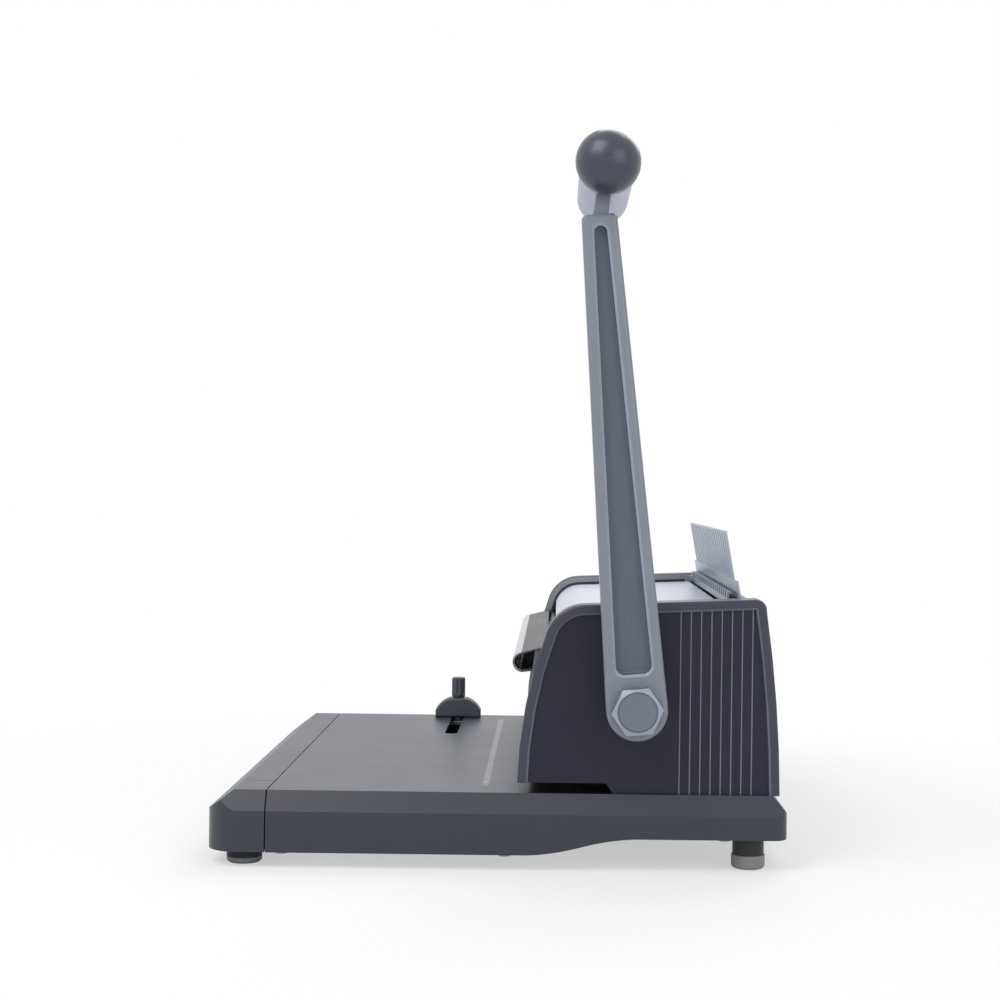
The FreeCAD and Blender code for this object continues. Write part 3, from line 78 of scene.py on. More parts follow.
def linear(colour: Rgb) -> tuple[float, float, float, float]:
    """Turn a display colour into the linear values that a shader takes.

    Args:
        colour: red, green and blue from 0 to 255.

    Returns:
        Linear red, green, blue and an alpha of 1.
    """
    share = np.array(colour, float) / 255
    low = share / 12.92
    high = ((share + 0.055) / 1.055) ** 2.4
    return (*np.where(share <= 0.04045, low, high).tolist(), 1.0)


class Grain(Enum):
    """Kinds of fine surface texture, each with its own stretch of the noise."""

    MOULDED = (1.0, 1.0, 1.0)
    BRUSHED_X = (0.02, 1.0, 1.0)
    BRUSHED_Z = (1.0, 1.0, 0.03)


class Graph:
    """A material's or world's node tree, with short ways to add and join nodes."""

    def __init__(self, owner: bpy.types.Material | bpy.types.World) -> None:
        """Give the owner an empty node tree.

        Args:
            owner: material or world.
        """
        owner.use_nodes = True
        self.tree = owner.node_tree
        self.tree.nodes.clear()

    def add(self, kind: str, entries: dict[str | int, Entry] | None = None,
            **settings: object) -> bpy.types.Node:
        """Add a node.

        Args:
            kind: the node's type name.
            entries: sockets or constants for its inputs, by name or place.
            settings: attributes to set on it.

        Returns:
            The new node.
        """
        node = self.tree.nodes.new(kind)
        for name, value in settings.items():
            setattr(node, name, value)
        for key, value in (entries or {}).items():
            if isinstance(value, Socket):
                self.tree.links.new(value, node.inputs[key])
            else:
                node.inputs[key].default_value = value
        return node

    @property
    def place(self) -> Socket:
        """The piece's own coordinates in metres."""
        return self.add("ShaderNodeTexCoord").outputs["Object"]

    def maths(self, operation: str, *values: Entry) -> Socket:
        """Work out a value from sockets or numbers with one math node."""
        node = self.add("ShaderNodeMath", dict(enumerate(values)), operation=operation)
        return node.outputs["Value"]

    def noise(self, size_mm: float, stretch: Xyz = (1.0, 1.0, 1.0)) -> Socket:
        """Noise over the piece's own coordinates.

        Args:
            size_mm: size of one feature.
            stretch: scale along each axis.

        Returns:
            The noise's factor.
        """
        mapping = self.add("ShaderNodeMapping", {"Scale": stretch, "Vector": self.place})
        noise = self.add("ShaderNodeTexNoise", {
            "Scale": 1 / (size_mm * MM), "Detail": 3.0, "Vector": mapping.outputs["Vector"]})
        return noise.outputs["Fac"]

    def spread(self, value: Socket, low: float, high: float,
               between: Pair = (0.25, 0.75), curve: str = "LINEAR") -> Socket:
        """Map a value to a range.

        Args:
            value: what is mapped.
            low: result at the first bound.
            high: result at the second bound.
            between: the value's bounds; a noise's middle half if they aren't given.
            curve: the node's kind of interpolation.

        Returns:
            The mapped value.
        """
        entries = dict(enumerate((value, *between, low, high)))
        node = self.add("ShaderNodeMapRange", entries, interpolation_type=curve)
        return node.outputs["Result"]

    def seen(self) -> Socket:
        """One for camera, glossy and transmission rays, nought for rays that carry light.

        Returns:
            The factor.
        """
        path = self.add("ShaderNodeLightPath").outputs
        mirror = self.maths("MAXIMUM", path["Is Camera Ray"], path["Is Glossy Ray"])
        return self.maths("MAXIMUM", mirror, path["Is Transmission Ray"])

    def mixed(self, output: str, *sources: Socket) -> None:
        """Send two shaders, after the second one's share, mixed to an output node."""
        mix = self.add("ShaderNodeMixShader", dict(enumerate(sources)))
        self.add(output, {"Surface": mix.outputs["Shader"]})


@dataclass(frozen=True)
class Patch:
    """Another colour inside a box, given by its middle and its reach each way."""

    colour: Rgb
    middle_mm: Xyz
    reach_mm: Xyz

    def mask(self, graph: Graph) -> Socket:
        """One inside the box and nought outside it.

        Args:
            graph: node graph to add to.

        Returns:
            The mask.
        """
        axes = graph.add("ShaderNodeSeparateXYZ", {"Vector": graph.place}).outputs
        inside = 1.0
        for axis, middle, reach in zip(axes, self.middle_mm, self.reach_mm):
            near = graph.maths("COMPARE", axis, middle * MM, reach * MM)
            inside = graph.maths("MULTIPLY", near, inside)
        return inside


@dataclass(frozen=True)
class TickRow(Patch):
    """Fine lines printed along X inside a thin box, as a scale."""

    pitch_mm: float = 5.0
    line_mm: float = 1.3

    def mask(self, graph: Graph) -> Socket:
        """One on a line of the scale and nought elsewhere.

        Args:
            graph: node graph to add to.

        Returns:
            The mask.
        """
        half = self.pitch_mm / 2 * MM
        axes = graph.add("ShaderNodeSeparateXYZ", {"Vector": graph.place}).outputs
        wave = graph.maths("PINGPONG", axes["X"], half)
        line = graph.maths("COMPARE", wave, half, self.line_mm / 2 * MM)
        return graph.maths("MULTIPLY", line, super().mask(graph))


@dataclass(frozen=True)
class Finish:
    """A procedural material: colour with a slight uneven tone, metal or plastic, and a fine grain.
    """

    name: str
    colour: Rgb
    roughness: float
    metallic: float = 0.0
    grain: Grain = Grain.MOULDED
    grain_size_mm: float = 0.35
    grain_depth: float = 0.12
    grain_rise_mm: float = 0.1
    cloud_mm: float = 40.0
    colour_drift: float = 0.05
    roughness_drift: float = 0.06
    edge_radius_mm: float = 0.25
    edge_samples: int = 4
    specular: float = 0.5
    marks: tuple[Patch, ...] = ()

    def material(self) -> bpy.types.Material:
        """Build the material once and return it after that.

        Roughness and colour wander a little, and the normal has a grain and broken edges.

        Returns:
            The Blender material with this finish.
        """
        title = "finish_" + self.name
        if title in bpy.data.materials:
            return bpy.data.materials[title]
        material = bpy.data.materials.new(title)
        graph = Graph(material)
        clouds = graph.noise(self.cloud_mm)
        fine = graph.noise(self.grain_size_mm, self.grain.value)
        drift = self.roughness_drift
        wander = graph.spread(clouds, self.roughness - drift, self.roughness + drift)
        edge = graph.add("ShaderNodeBevel", {"Radius": self.edge_radius_mm * MM},
                         samples=self.edge_samples)
        bump = graph.add("ShaderNodeBump", {
            "Strength": self.grain_depth, "Distance": self.grain_rise_mm * MM,
            "Height": fine, "Normal": edge.outputs["Normal"]})
        shader = graph.add("ShaderNodeBsdfPrincipled", {
            "Metallic": self.metallic,
            "Specular IOR Level": self.specular,
            "Base Color": self._colour(graph, clouds, fine),
            "Roughness": graph.maths("ADD", wander, graph.spread(fine, -drift, drift)),
            "Normal": bump.outputs["Normal"],
        })
        graph.add("ShaderNodeOutputMaterial", {"Surface": shader.outputs["BSDF"]})
        return material

    def _colour(self, graph: Graph, clouds: Socket, fine: Socket) -> Socket:
        """Slight light and dark clouds in the colour, a finer speck or streak, and marks.

        Args:
            graph: node graph to add to.
            clouds: broad noise.
            fine: fine noise.

        Returns:
            The colour.
        """
        colour = linear(self.colour)
        for mark in self.marks:
            entries = {"Fac": mark.mask(graph), "Color1": colour,
                       "Color2": linear(mark.colour)}
            colour = graph.add("ShaderNodeMixRGB", entries).outputs["Color"]
        wide, small = (graph.spread(noise, 1 - self.colour_drift, 1 + self.colour_drift)
                       for noise in (clouds, fine))
        entries = {"Color": colour, "Value": graph.maths("MULTIPLY", wide, small)}
        return graph.add("ShaderNodeHueSaturation", entries).outputs["Color"]


@dataclass(frozen=True)
class Palette:
    """Every finish of the machine, keyed by the record's material slots."""

    base: Finish = Finish(
        "base_plastic", (41, 46, 56), 0.36, colour_drift=0.02, roughness_drift=0.02,
        # painted reflection: the deck's top is painted lighter and bluer for the sheen it takes at
        # a low angle
        marks=(Patch((47, 54, 71), (BASE_X, 0.0, DECK), (200.0, 200.0, 0.08)),
               # painted shadow: the deck inside the throat under the housing is painted near black
               Patch((12, 12, 15), (BASE_X, 60.0, DECK), (200.0, 47.0, 0.09)),
               TickRow((210, 213, 222), (BASE_X, -8.0, DECK), (160.0, 1.9, 0.1))))
    cheek: Finish = Finish("cheek_plastic", (48, 51, 65), 0.38)
    face: Finish = Finish("cheek_face", (31, 32, 48), 0.44, specular=0.28)
    # painted highlight: the cheek's ridges are painted lighter than the face, as bright lines of
    # reflected light
    ridge_highlight: Finish = Finish("cheek_ridge_highlight", (112, 115, 130), 0.3)
    # painted highlight: the rim's inner bevel is painted lighter
    edge: Finish = Finish("cheek_edge_highlight", (104, 107, 121), 0.3)
    flange: Finish = Finish("cheek_flange", (138, 144, 153), 0.4)
    black: Finish = Finish("black_plastic", (20, 20, 22), 0.5)
    guide: Finish = Finish("guide_plastic", (76, 80, 89), 0.42)
    ball: Finish = Finish("ball_plastic", (57, 61, 75), 0.26)
    sleeve: Finish = Finish("grip_sleeve", (156, 163, 186), 0.4)
    lever: Finish = Finish(
        "lever_paint", (119, 125, 136), 0.36, grain_size_mm=0.6, edge_radius_mm=0.6)
    # partly painted shade: the pocket's walls and floor are painted darker than the arm for the
    # shade in the recess, with a greener tone of their own
    pocket: Finish = Finish("lever_pocket", (84, 93, 106), 0.46, grain_size_mm=0.6)
    # painted highlight: the lever pocket's bevel and the bolt's chamfer ring are painted lighter
    edge_highlight: Finish = Finish("lever_edge_highlight", (147, 154, 168), 0.32)
    bolt: Finish = Finish("bolt_paint", (106, 113, 126), 0.35, 0.3)
    silver: Finish = Finish(
        "silver_sheet", (190, 194, 209), 0.3, 0.35, colour_drift=0.015, roughness_drift=0.025)
    brushed: Finish = Finish(
        "brushed_sheet", (78, 77, 81), 0.46, 0.5, Grain.BRUSHED_X, 1.6, colour_drift=0.3,
        specular=0.3)
    # painted highlight: the lip's rolled tip is painted bright while the same sheet's flat stays
    # dark
    roll: Finish = Finish("lip_roll", (182, 184, 190), 0.26, 0.9, Grain.BRUSHED_X)
    comb: Finish = Finish("comb_steel", (160, 168, 180), 0.32, 0.9, Grain.BRUSHED_Z)
    plated: Finish = Finish(
        "plated_steel", (150, 152, 156), 0.32, 0.9,
        # painted shadow: plated steel inside the throat under the housing is painted near black
        marks=(Patch((14, 14, 16), (BASE_X, 60.0, DECK + 3.0), (200.0, 60.0, 4.0)),))
    tool: Finish = Finish("tool_steel", (96, 98, 102), 0.35, 0.9)
    spring: Finish = Finish("spring_steel", (100, 102, 108), 0.3, 0.9)
    screw: Finish = Finish("screw_steel", (130, 132, 136), 0.3, 0.9)
    bronze: Finish = Finish("bush_bronze", (150, 112, 66), 0.38, 0.9)
    foot: Finish = Finish(
        "foot_rubber", (20, 22, 25), 0.7, grain_depth=0.25,
        marks=(Patch((122, 124, 126), (BASE_X, 0.0, 0.0), (250.0, 250.0, 3.6)),))
    pad: Finish = Finish("pad_rubber", (130, 133, 135), 0.6, grain_depth=0.25)

    def by_slot(self) -> dict[str, Finish]:
        """The finishes by name, one for each material slot and more."""
        return {finish.name: finish for finish in vars(self).values()}


def new_object(name: str, data: bpy.types.ID) -> bpy.types.Object:
    """Make an object and link it to the scene.

    Args:
        name: its name.
        data: its mesh, lamp or camera.

    Returns:
        The object.
    """
    thing = bpy.data.objects.new(name, data)
    bpy.context.scene.collection.objects.link(thing)
    return thing


@dataclass(frozen=True)
class Viewpoint:
    """Camera at the photograph's angle, looking along the shaft from the lever's side."""

    x_mm: float = 1276.5
    y_mm: float = 34.0
    z_mm: float = 229.0
    focal_px: float = 1807.0
    vanish_px: Pair = (557.0, 490.0)
    roll: float = 0.013
    frame_px: float = 1000.0
    sensor_mm: float = 36.0
    clip_m: float = 20.0

    def place(self, sideways_mm: float) -> None:
        """Make the camera and set it as the scene's own.

        Args:
            sideways_mm: how far the base's middle lies from the row frame's.
        """
        data = bpy.data.cameras.new("camera")
        data.sensor_width = self.sensor_mm
        data.lens = self.focal_px / self.frame_px * self.sensor_mm
        half = self.frame_px / 2
        data.shift_x = (half - self.vanish_px[0]) / self.frame_px
        data.shift_y = (self.vanish_px[1] - half) / self.frame_px
        data.clip_end = self.clip_m
        camera = new_object("camera", data)
        right = Vector((0, math.cos(self.roll), math.sin(self.roll)))
        up = Vector((0, -math.sin(self.roll), math.cos(self.roll)))
        turn = Matrix((right, up, Vector((1, 0, 0)))).transposed().to_4x4()
        spot = Vector((self.x_mm + sideways_mm, self.y_mm, self.z_mm)) * MM
        camera.matrix_world = Matrix.Translation(spot) @ turn
        bpy.context.scene.camera = camera


@dataclass(frozen=True)
class Lamp:
    """A square soft lamp."""

    name: str
    spot: Xyz
    watts: float
    size: float

    def build(self, target: Vector) -> None:
        """Add the lamp to the scene.

        Args:
            target: point that it faces, in metres.
        """
        data = bpy.data.lights.new(self.name, "AREA")
        data.energy = self.watts
        data.size = self.size
        lamp = new_object(self.name, data)
        lamp.location = self.spot
        way = target - Vector(self.spot)
        lamp.rotation_euler = way.to_track_quat("-Z", "Y").to_euler()


@dataclass(frozen=True)
class Studio:
    """Pale floor, white surround and soft lamps."""

    floor_m: float = 6.0
    floor_albedo: float = 0.86
    floor_lift: float = 0.5
    shadow_m: Pair = (0.34, 0.66)
    ambient: float = 0.6
    background: float = 1.0
    target: Xyz = (0.0, 0.0, 0.14)
    lamps: tuple[Lamp, ...] = (
        Lamp("key", (1.1, -0.9, 1.7), 20.0, 1.3),
        Lamp("fill", (1.6, 1.2, 0.8), 7.0, 1.2),
        Lamp("back", (-1.2, 0.5, 1.6), 14.0, 1.4),
    )

    def build(self) -> None:
        """Add the floor, the world and the lamps, and set plain colour management."""
        self._floor()
        self._world()
        for lamp in self.lamps:
            lamp.build(Vector(self.target))
        bpy.context.scene.view_settings.view_transform = "Standard"

    def _floor(self) -> None:
        """A pale plane with shadows near the object and plain white far from it."""
        half = self.floor_m / 2
        mesh = bpy.data.meshes.new("floor")
        corners = [(-half, -half, 0), (half, -half, 0), (half, half, 0), (-half, half, 0)]
        mesh.from_pydata(corners, [], [(0, 1, 2, 3)])
        floor = new_object("floor", mesh)
        material = bpy.data.materials.new("floor_white")
        mesh.materials.append(material)
        graph = Graph(material)
        pale = graph.add("ShaderNodeBsdfDiffuse", {"Color": (self.floor_albedo,) * 3 + (1.0,)})
        white = graph.add("ShaderNodeEmission", {"Strength": self.background})
        radius = graph.add("ShaderNodeVectorMath", {0: graph.place}, operation="LENGTH")
        far = graph.spread(radius.outputs["Value"], self.floor_lift, 1.0, self.shadow_m,
                           "SMOOTHSTEP")
        graph.mixed("ShaderNodeOutputMaterial", graph.maths("MULTIPLY", far, graph.seen()),
                    pale.outputs["BSDF"], white.outputs["Emission"])

    def _world(self) -> None:
        """White where the camera and mirrors look, softer where it lights the object."""
        bpy.context.scene.world = bpy.data.worlds.new("studio")
        graph = Graph(bpy.context.scene.world)
        skies = [graph.add("ShaderNodeBackground", {"Color": (1, 1, 1, 1), "Strength": strength})
                 for strength in (self.ambient, self.background)]
        graph.mixed("ShaderNodeOutputWorld", graph.seen(),
                    *(sky.outputs["Background"] for sky in skies))


def arc(start: Sequence[float], middle: Sequence[float], end: Sequence[float]) -> np.ndarray:
    """Points on the circle through three points, at most one arc step apart.

    The centre is where the two chords' perpendicular bisectors cross, and the angle runs
    evenly from start to end on the side that holds the middle point.

    Args:
        start: first point.
        middle: a point between.
        end: last point.

    Returns:
        An array of points, start and end included.
    """
    a, b, c = (complex(*point[:2]) for point in (start, middle, end))
    w = (c - a) / (b - a)
    centre = a + (b - a) * (w - abs(w) ** 2) / (w - w.conjugate())
    radius = abs(a - centre)
    first, half, last = (np.angle(point - centre) for point in (a, b, c))
    sweep = (last - first) % math.tau
    if (half - first) % math.tau > sweep:
        sweep -= math.tau
    count = max(4, math.ceil(abs(sweep) / ARC_STEP))
    angles = first + np.linspace(0, sweep, count + 1)
    return np.stack([centre.real + radius * np.cos(angles),
                     centre.imag + radius * np.sin(angles)], -1)


@dataclass
class Outline:
    """Flat path of straight runs and arcs, and the same path set in."""

    marks: list[tuple]
    closed: bool = True
    points: np.ndarray = field(init=False)

    def __post_init__(self) -> None:
        """Work out the points; a mark of three values is the middle of an arc."""
        ring = self.marks + (self.marks[:1] if self.closed else [])
        runs, i = [], 0
        while i < len(ring) - 1:
            curved = len(ring[i + 1]) == 3
            runs.append(arc(*ring[i:i + 3])[:-1] if curved else np.array([ring[i][:2]], float))
            i += 1 + curved
        if not self.closed:
            runs.append(np.array([ring[-1][:2]], float))
        self.points = np.concatenate(runs)

    def inset(self, distance: float) -> np.ndarray:
        """Move every point in by a distance, along the mitre of its two runs.

        The mitre is the sum of the two unit normals over one plus their dot product.
        The path runs clockwise, so the inside is on its right.

        Args:
            distance: how far in; negative moves out.

        Returns:
            As many points as the outline has.
        """
        path = self.points
        ahead = np.roll(path, -1, 0) - path
        normal = ahead[:, ::-1] * [1, -1]
        normal /= np.linalg.norm(normal, axis=1, keepdims=True)
        if not self.closed:
            normal[-1] = normal[-2]
        before = np.roll(normal, 1, 0)
        if not self.closed:
            before[0] = normal[0]
        mitre = (normal + before) / (1 + np.sum(normal * before, 1, keepdims=True))
        return path + distance * mitre


def mirrored(half: list[tuple], *middle: tuple, centre: float = 0.0) -> list[tuple]:
    """Marks of one side, then the middle ones, then the first side's mirror image."""
    return half + list(middle) + [(2 * centre - y, *rest) for y, *rest in reversed(half)]


def corner(y: float, z: float, wide: float, tall: float, cut: float = CUT) -> list[tuple]:
    """Marks of a round corner at Y and Z; its middle is cut in by a share of both reaches."""
    return [(y, z - tall), (y + cut * wide, z - cut * tall, True), (y + wide, z)]


def rounded(low: float, high: float, radius: float, steps: int = 4) -> list[Pair]:
    """Stations of a slab with quarter rounds on both rims.

    Each quarter runs evenly in angle: the inset is radius times one minus the sine, and
    the depth from the face is radius times one minus the cosine.

    Args:
        low: first face.
        high: last face.
        radius: size of the rounds.
        steps: stretches in each round.

    Returns:
        Pairs of inset and place along the slab.
    """
    turn = np.linspace(0, QUARTER, steps + 1)
    inset = radius * (1 - np.sin(turn))
    depth = radius * (1 - np.cos(turn))
    rise = list(zip(inset, low + depth))
    return rise + list(zip(inset[::-1], high - depth[::-1]))


class Surface:
    """Grids and flat fills of points, in millimetres from the base's middle, made into one mesh.

    A paint is the number of the material that faces take.
    """

    def __init__(self) -> None:
        """Start with nothing."""
        self._points: list[np.ndarray] = []
        self._faces: list[tuple[int, ...]] = []
        self._paints: list[int] = []

    def _add(self, points: np.ndarray) -> np.ndarray:
        """Store points and give their indices."""
        self._points.append(points)
        return np.arange(-len(points), 0) + sum(map(len, self._points))

    def grid(self, rows: np.ndarray, around: bool = False, ends: bool = False,
             paint: int | np.ndarray = 0) -> "Surface":
        """Join rows of points with quads.

        Args:
            rows: array of rows by columns by 3.
            around: True to join the last column to the first.
            ends: True to fill the first and the last row.
            paint: one for all quads or one for each column of them.

        Returns:
            This surface.
        """
        index = self._add(rows.reshape(-1, 3)).reshape(rows.shape[:2])
        if around:
            index = np.concatenate([index, index[:, :1]], 1)
        quads = np.stack([index[:-1, :-1], index[:-1, 1:], index[1:, 1:], index[1:, :-1]], -1)
        self._faces += map(tuple, quads.reshape(-1, 4).tolist())
        self._paints += np.broadcast_to(paint, quads.shape[:2]).ravel().tolist()
        for row in (rows[0], rows[-1]) if ends else ():
            self.flat(row)
        return self

    def bands(self, rows: np.ndarray, around: bool,
              *bands: tuple[int, int | None, int]) -> None:
        """Join bands of rows, each given by its first row, the row to stop before and a paint."""
        for first, stop, paint in bands:
            self.grid(rows[first:stop], around, paint=paint)

    def flat(self, *loops: np.ndarray, paint: int = 0) -> None:
        """Fill between an outer loop and its holes.

        Args:
            loops: the outer loop, then any holes.
            paint: one for all faces.
        """
        numbers = self._add(np.concatenate(loops)).tolist()
        found = tessellate_polygon([[Vector(point) for point in loop] for loop in loops])
        self._faces += [tuple(numbers[i] for i in face) for face in found]
        self._paints += [paint] * len(found)

    def slab(self, outline: Outline, stations: Sequence[Pair],
             place: Callable[[np.ndarray, float], np.ndarray], ends: bool = True,
             paint: int | np.ndarray = 0) -> "Surface":
        """Carry an outline through stations of inset and place, with ends or left open."""
        rows = np.stack([place(outline.inset(inset), at) for inset, at in stations])
        return self.grid(rows, outline.closed, ends, paint)

    def turned(self, profile: np.ndarray, centre: Sequence[float], axis: str = "x",
               count: int = 96) -> "Surface":
        """Turn a profile about an axis: each point of the profile draws a circle.

        Args:
            profile: pairs of distance along the axis and radius.
            centre: the two other coordinates of the axis.
            axis: "x" or "z".
            count: points round each circle.

        Returns:
            This surface.
        """
        angle = np.linspace(0, math.tau, count, endpoint=False)
        along = np.repeat(profile[:, :1], count, 1)
        one = centre[0] + profile[:, 1:] * np.cos(angle)
        two = centre[1] + profile[:, 1:] * np.sin(angle)
        parts = [along, one, two] if axis == "x" else [one, two, along]
        return self.grid(np.stack(parts, -1), around=True)

    def moved(self, change: Callable[[np.ndarray], np.ndarray]) -> "Surface":
        """Change every point so far and return this surface."""
        self._points = [change(points) for points in self._points]
        return self

    def mesh(self, name: str, sideways: float, sharp: float) -> bpy.types.Mesh:
        """Weld the points, turn the faces outwards and mark sharp edges.

        Args:
            name: mesh name.
            sideways: shift along X to the row frame.
            sharp: edges over this angle in degrees stay sharp.

        Returns:
            The mesh, in metres.
        """
        points = (np.concatenate(self._points) + [sideways, 0, 0]) * MM
        mesh = bpy.data.meshes.new(name)
        mesh.from_pydata(points.tolist(), [], self._faces)
        mesh.polygons.foreach_set("material_index", self._paints)
        work = bmesh.new()
        work.from_mesh(mesh)
        bmesh.ops.remove_doubles(work, verts=work.verts, dist=WELD)
        bmesh.ops.dissolve_degenerate(work, edges=work.edges, dist=WELD)
        bmesh.ops.recalc_face_normals(work, faces=work.faces)
        work.to_mesh(mesh)
        work.free()
        mesh.shade_smooth()
        mesh.set_sharp_from_angle(angle=math.radians(sharp))
        return mesh


@dataclass
class Workshop:
    """Turns surfaces into finished pieces that ride on their CAD body."""

    palette: Palette
    sideways: float

    def piece(self, surface: Surface, name: str, finish: Finish, node: str,
              body: str = "machine", sharp: float = 32.0, slotted: bool = True,
              others: Sequence[Finish] = ()) -> bpy.types.Object:
        """Make one piece.

        Args:
            surface: its points and faces.
            name: object name.
            finish: its material.
            node: CAD node that it stands for.
            body: CAD body that it rides on, or nothing to leave it unattached.
            sharp: angle in degrees over which an edge stays sharp.
            slotted: True where the finish is one of the record's slots; not used.
            others: finishes of the faces with paint 1 and up.

        Returns:
            The new object.
        """
        mesh = surface.mesh(name, self.sideways, sharp)
        for one in (finish, *others):
            mesh.materials.append(one.material())
        piece = new_object(name, mesh)
        modify(piece, "WEIGHTED_NORMAL", keep_sharp=True)
        if body:
            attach(piece, body)
        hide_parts(node)
        LOG.info("%s: %d faces on %s", name, len(mesh.polygons), body or "two bodies")
        return piece


def modify(thing: bpy.types.Object, kind: str, **settings: object) -> None:
    """Add a modifier.

    Args:
        thing: object that gets it.
        kind: the modifier's type.
        settings: attributes to set on it.
    """
    modifier = thing.modifiers.new(kind.lower(), kind)
    for name, value in settings.items():
        setattr(modifier, name, value)


def along_x(points: np.ndarray, x: float) -> np.ndarray:
    """Points in space from pairs of Y and Z at one place on X."""
    return np.column_stack([np.full(len(points), x), points])


def along_y(points: np.ndarray, y: float) -> np.ndarray:
    """Points in space from pairs of X and Z at one place on Y."""
    return np.column_stack([points[:, 0], np.full(len(points), y), points[:, 1]])


def leaning(angle: float, y: float, z: float) -> Callable[[np.ndarray], np.ndarray]:
    """A turn about X, then a move, for pieces drawn upright about their foot.

    Args:
        angle: lean in degrees.
        y: place of the foot along Y.
        z: height of the foot.

    Returns:
        The function that moves points.
    """
    cos, sin = math.cos(math.radians(angle)), math.sin(math.radians(angle))
    turn = np.array([[1, 0, 0], [0, cos, sin], [0, -sin, cos]])
    return lambda points: points @ turn + [0, y, z]


@dataclass(frozen=True)
class Lever:
    """Leaning cast arm with its bolt, ball, sleeve and plug."""

    pivot: Pair = (83.0, 99.4)
    lean: float = 5.1
    inner_x: float = 196.0
    outer_x: float = 212.0
    foot: float = 18.3
    top_half: float = 10.6
    length: float = 294.0
    corner: float = 3.0
    edge: float = 1.8
    crown: Pair = (2.8, 2.4)
    hub: float = 15.0
    hub_x: float = 188.0
    hub_edge: float = 0.8
    pocket_low: float = 21.5
    pocket_high: float = 287.0
    pocket_foot: float = 10.5
    pocket_top: float = 3.8
    pocket_corner: float = 5.0
    pocket_depth: float = 6.0
    pocket_bevel: float = 1.5
    pocket_fillet: Pair = (1.4, 0.4)
    neck_half: float = 4.7
    neck_deep: float = 4.0
    eye: float = 13.0
    eye_edge: float = 1.0
    eye_x: Pair = (200.0, 208.0)
    grip_at: Pair = (7.3, 322.6)
    ball: float = 19.3
    ball_x: float = 219.0
    gate: float = 1.5
    gate_deep: float = 0.35
    tube: float = 16.7
    tube_end_x: float = 85.0
    tube_edge: float = 1.2
    tube_wall: float = 3.5
    rod: float = 5.0
    dome_high: float = 3.0
    bolt_flats: float = 27.0
    bolt_head: float = 8.0
    bolt_cone: float = math.radians(30)
    bolt_rings: tuple[Pair, ...] = (
        (11.9, 0.0), (11.7, 0.5), (11.2, 0.5), (11.0, 0.0), (4.0, 0.0))

    def build(self, shop: Workshop) -> None:
        """Make every piece of the lever.

        Args:
            shop: the workshop.
        """
        swing = leaning(self.lean, *self.pivot)
        look = shop.palette
        shop.piece(self._arm().moved(swing), "lever_casting", look.lever, "lever_arm", "lever",
                   others=[look.pocket, look.edge_highlight])
        shop.piece(self._bolt().moved(swing), "hexagon_bolt", look.bolt, "lever_bolt", "lever",
                   12.0, slotted=False, others=[look.edge_highlight])
        for profile, name, finish, node in (
                (self._ball(), "ball", look.ball, "grip_ball"),
                (self._tube(), "sleeve", look.sleeve, "grip_tube"),
                (self._plug(), "sleeve_plug", look.black, "grip_plug")):
            surface = Surface().turned(profile, self.grip_at).moved(swing)
            shop.piece(surface, name, finish, node, "lever")

    def _arm_outline(self) -> Outline:
        """Round foot, straight taper and small corners at the top, drawn clockwise.

        Returns:
            The outline about an upright arm.
        """
        lean = math.asin((self.foot - self.top_half) / self.length)
        foot = (-self.foot * math.cos(lean), self.foot * math.sin(lean))
        top = corner(-self.top_half, self.length, self.corner, self.corner)
        return Outline(mirrored([foot, *top]) + [(0, -self.foot, True)])

    def _pocket_outline(self) -> Outline:
        """Round at the top, wider and square at the foot, drawn clockwise.

        Returns:
            The pocket's outline.
        """
        edge, top = self.pocket_corner, self.pocket_top
        foot = corner(-self.pocket_foot, self.pocket_low, edge, -edge)[::-1]
        side = [*foot, (-top, self.pocket_high - top)]
        return Outline(mirrored(side, (0, self.pocket_high, True)))

    def _neck_outline(self) -> Outline:
        """Slanting neck that runs into the round eye, drawn clockwise.

        A neck side meets the eye where its distance from the eye's centre is the radius.

        Returns:
            The outline.
        """
        foot_z = self.length - self.neck_deep
        centre = np.array(self.grip_at)
        way = centre - [0, foot_z]
        way /= np.linalg.norm(way)
        half = self.neck_half
        spread = math.sqrt(half ** 2 * way[0] ** 2 + self.eye ** 2 - half ** 2)
        left = centre - [half, 0] - way * (spread - half * way[0])
        right = centre + [half, 0] - way * (spread + half * way[0])
        over = centre + way * self.eye
        return Outline([(-half, foot_z), tuple(left), (*over, True), tuple(right), (half, foot_z)])

    def _arm(self) -> Surface:
        """Arm with rounded rims and a bevelled pocket, hub, neck and eye.

        Returns:
            The casting's surface, upright.
        """
        surface = Surface()
        outline, pocket = self._arm_outline(), self._pocket_outline()
        across, down = self.crown
        turn = np.linspace(0, QUARTER, 9)
        crown = list(zip(across * (1 - np.cos(turn)), self.outer_x - down * (1 - np.sin(turn))))
        back = rounded(self.inner_x, self.outer_x, self.edge)
        surface.slab(outline, back[:len(back) // 2] + crown, along_x, ends=False)
        surface.flat(along_x(outline.inset(self.edge), self.inner_x))
        rim = along_x(pocket.inset(-self.pocket_bevel), self.outer_x)
        surface.flat(along_x(outline.inset(across), self.outer_x), rim)
        floor = self.outer_x - self.pocket_depth
        fillet, near = self.pocket_fillet
        stations = [(-self.pocket_bevel, self.outer_x), (0.0, self.outer_x - self.pocket_bevel),
                    (0.0, floor + fillet), (near, floor + near), (fillet, floor)]
        rows = np.stack([along_x(pocket.inset(inset), x) for inset, x in stations])
        # the pocket's bevel takes paint 2, a painted highlight; its walls and floor take paint 1,
        # darkened partly as painted shade
        surface.bands(rows, True, (0, 2, 2), (1, None, 1))
        surface.flat(rows[-1], paint=1)
        x, edge = self.hub_x, self.hub_edge
        hub = np.array([(x, 0), (x, self.hub - edge), (x + edge, self.hub),
                        (self.inner_x + 0.5, self.hub)])
        surface.turned(hub, (0, 0))
        surface.slab(self._neck_outline(), rounded(*self.eye_x, self.eye_edge), along_x)
        return surface

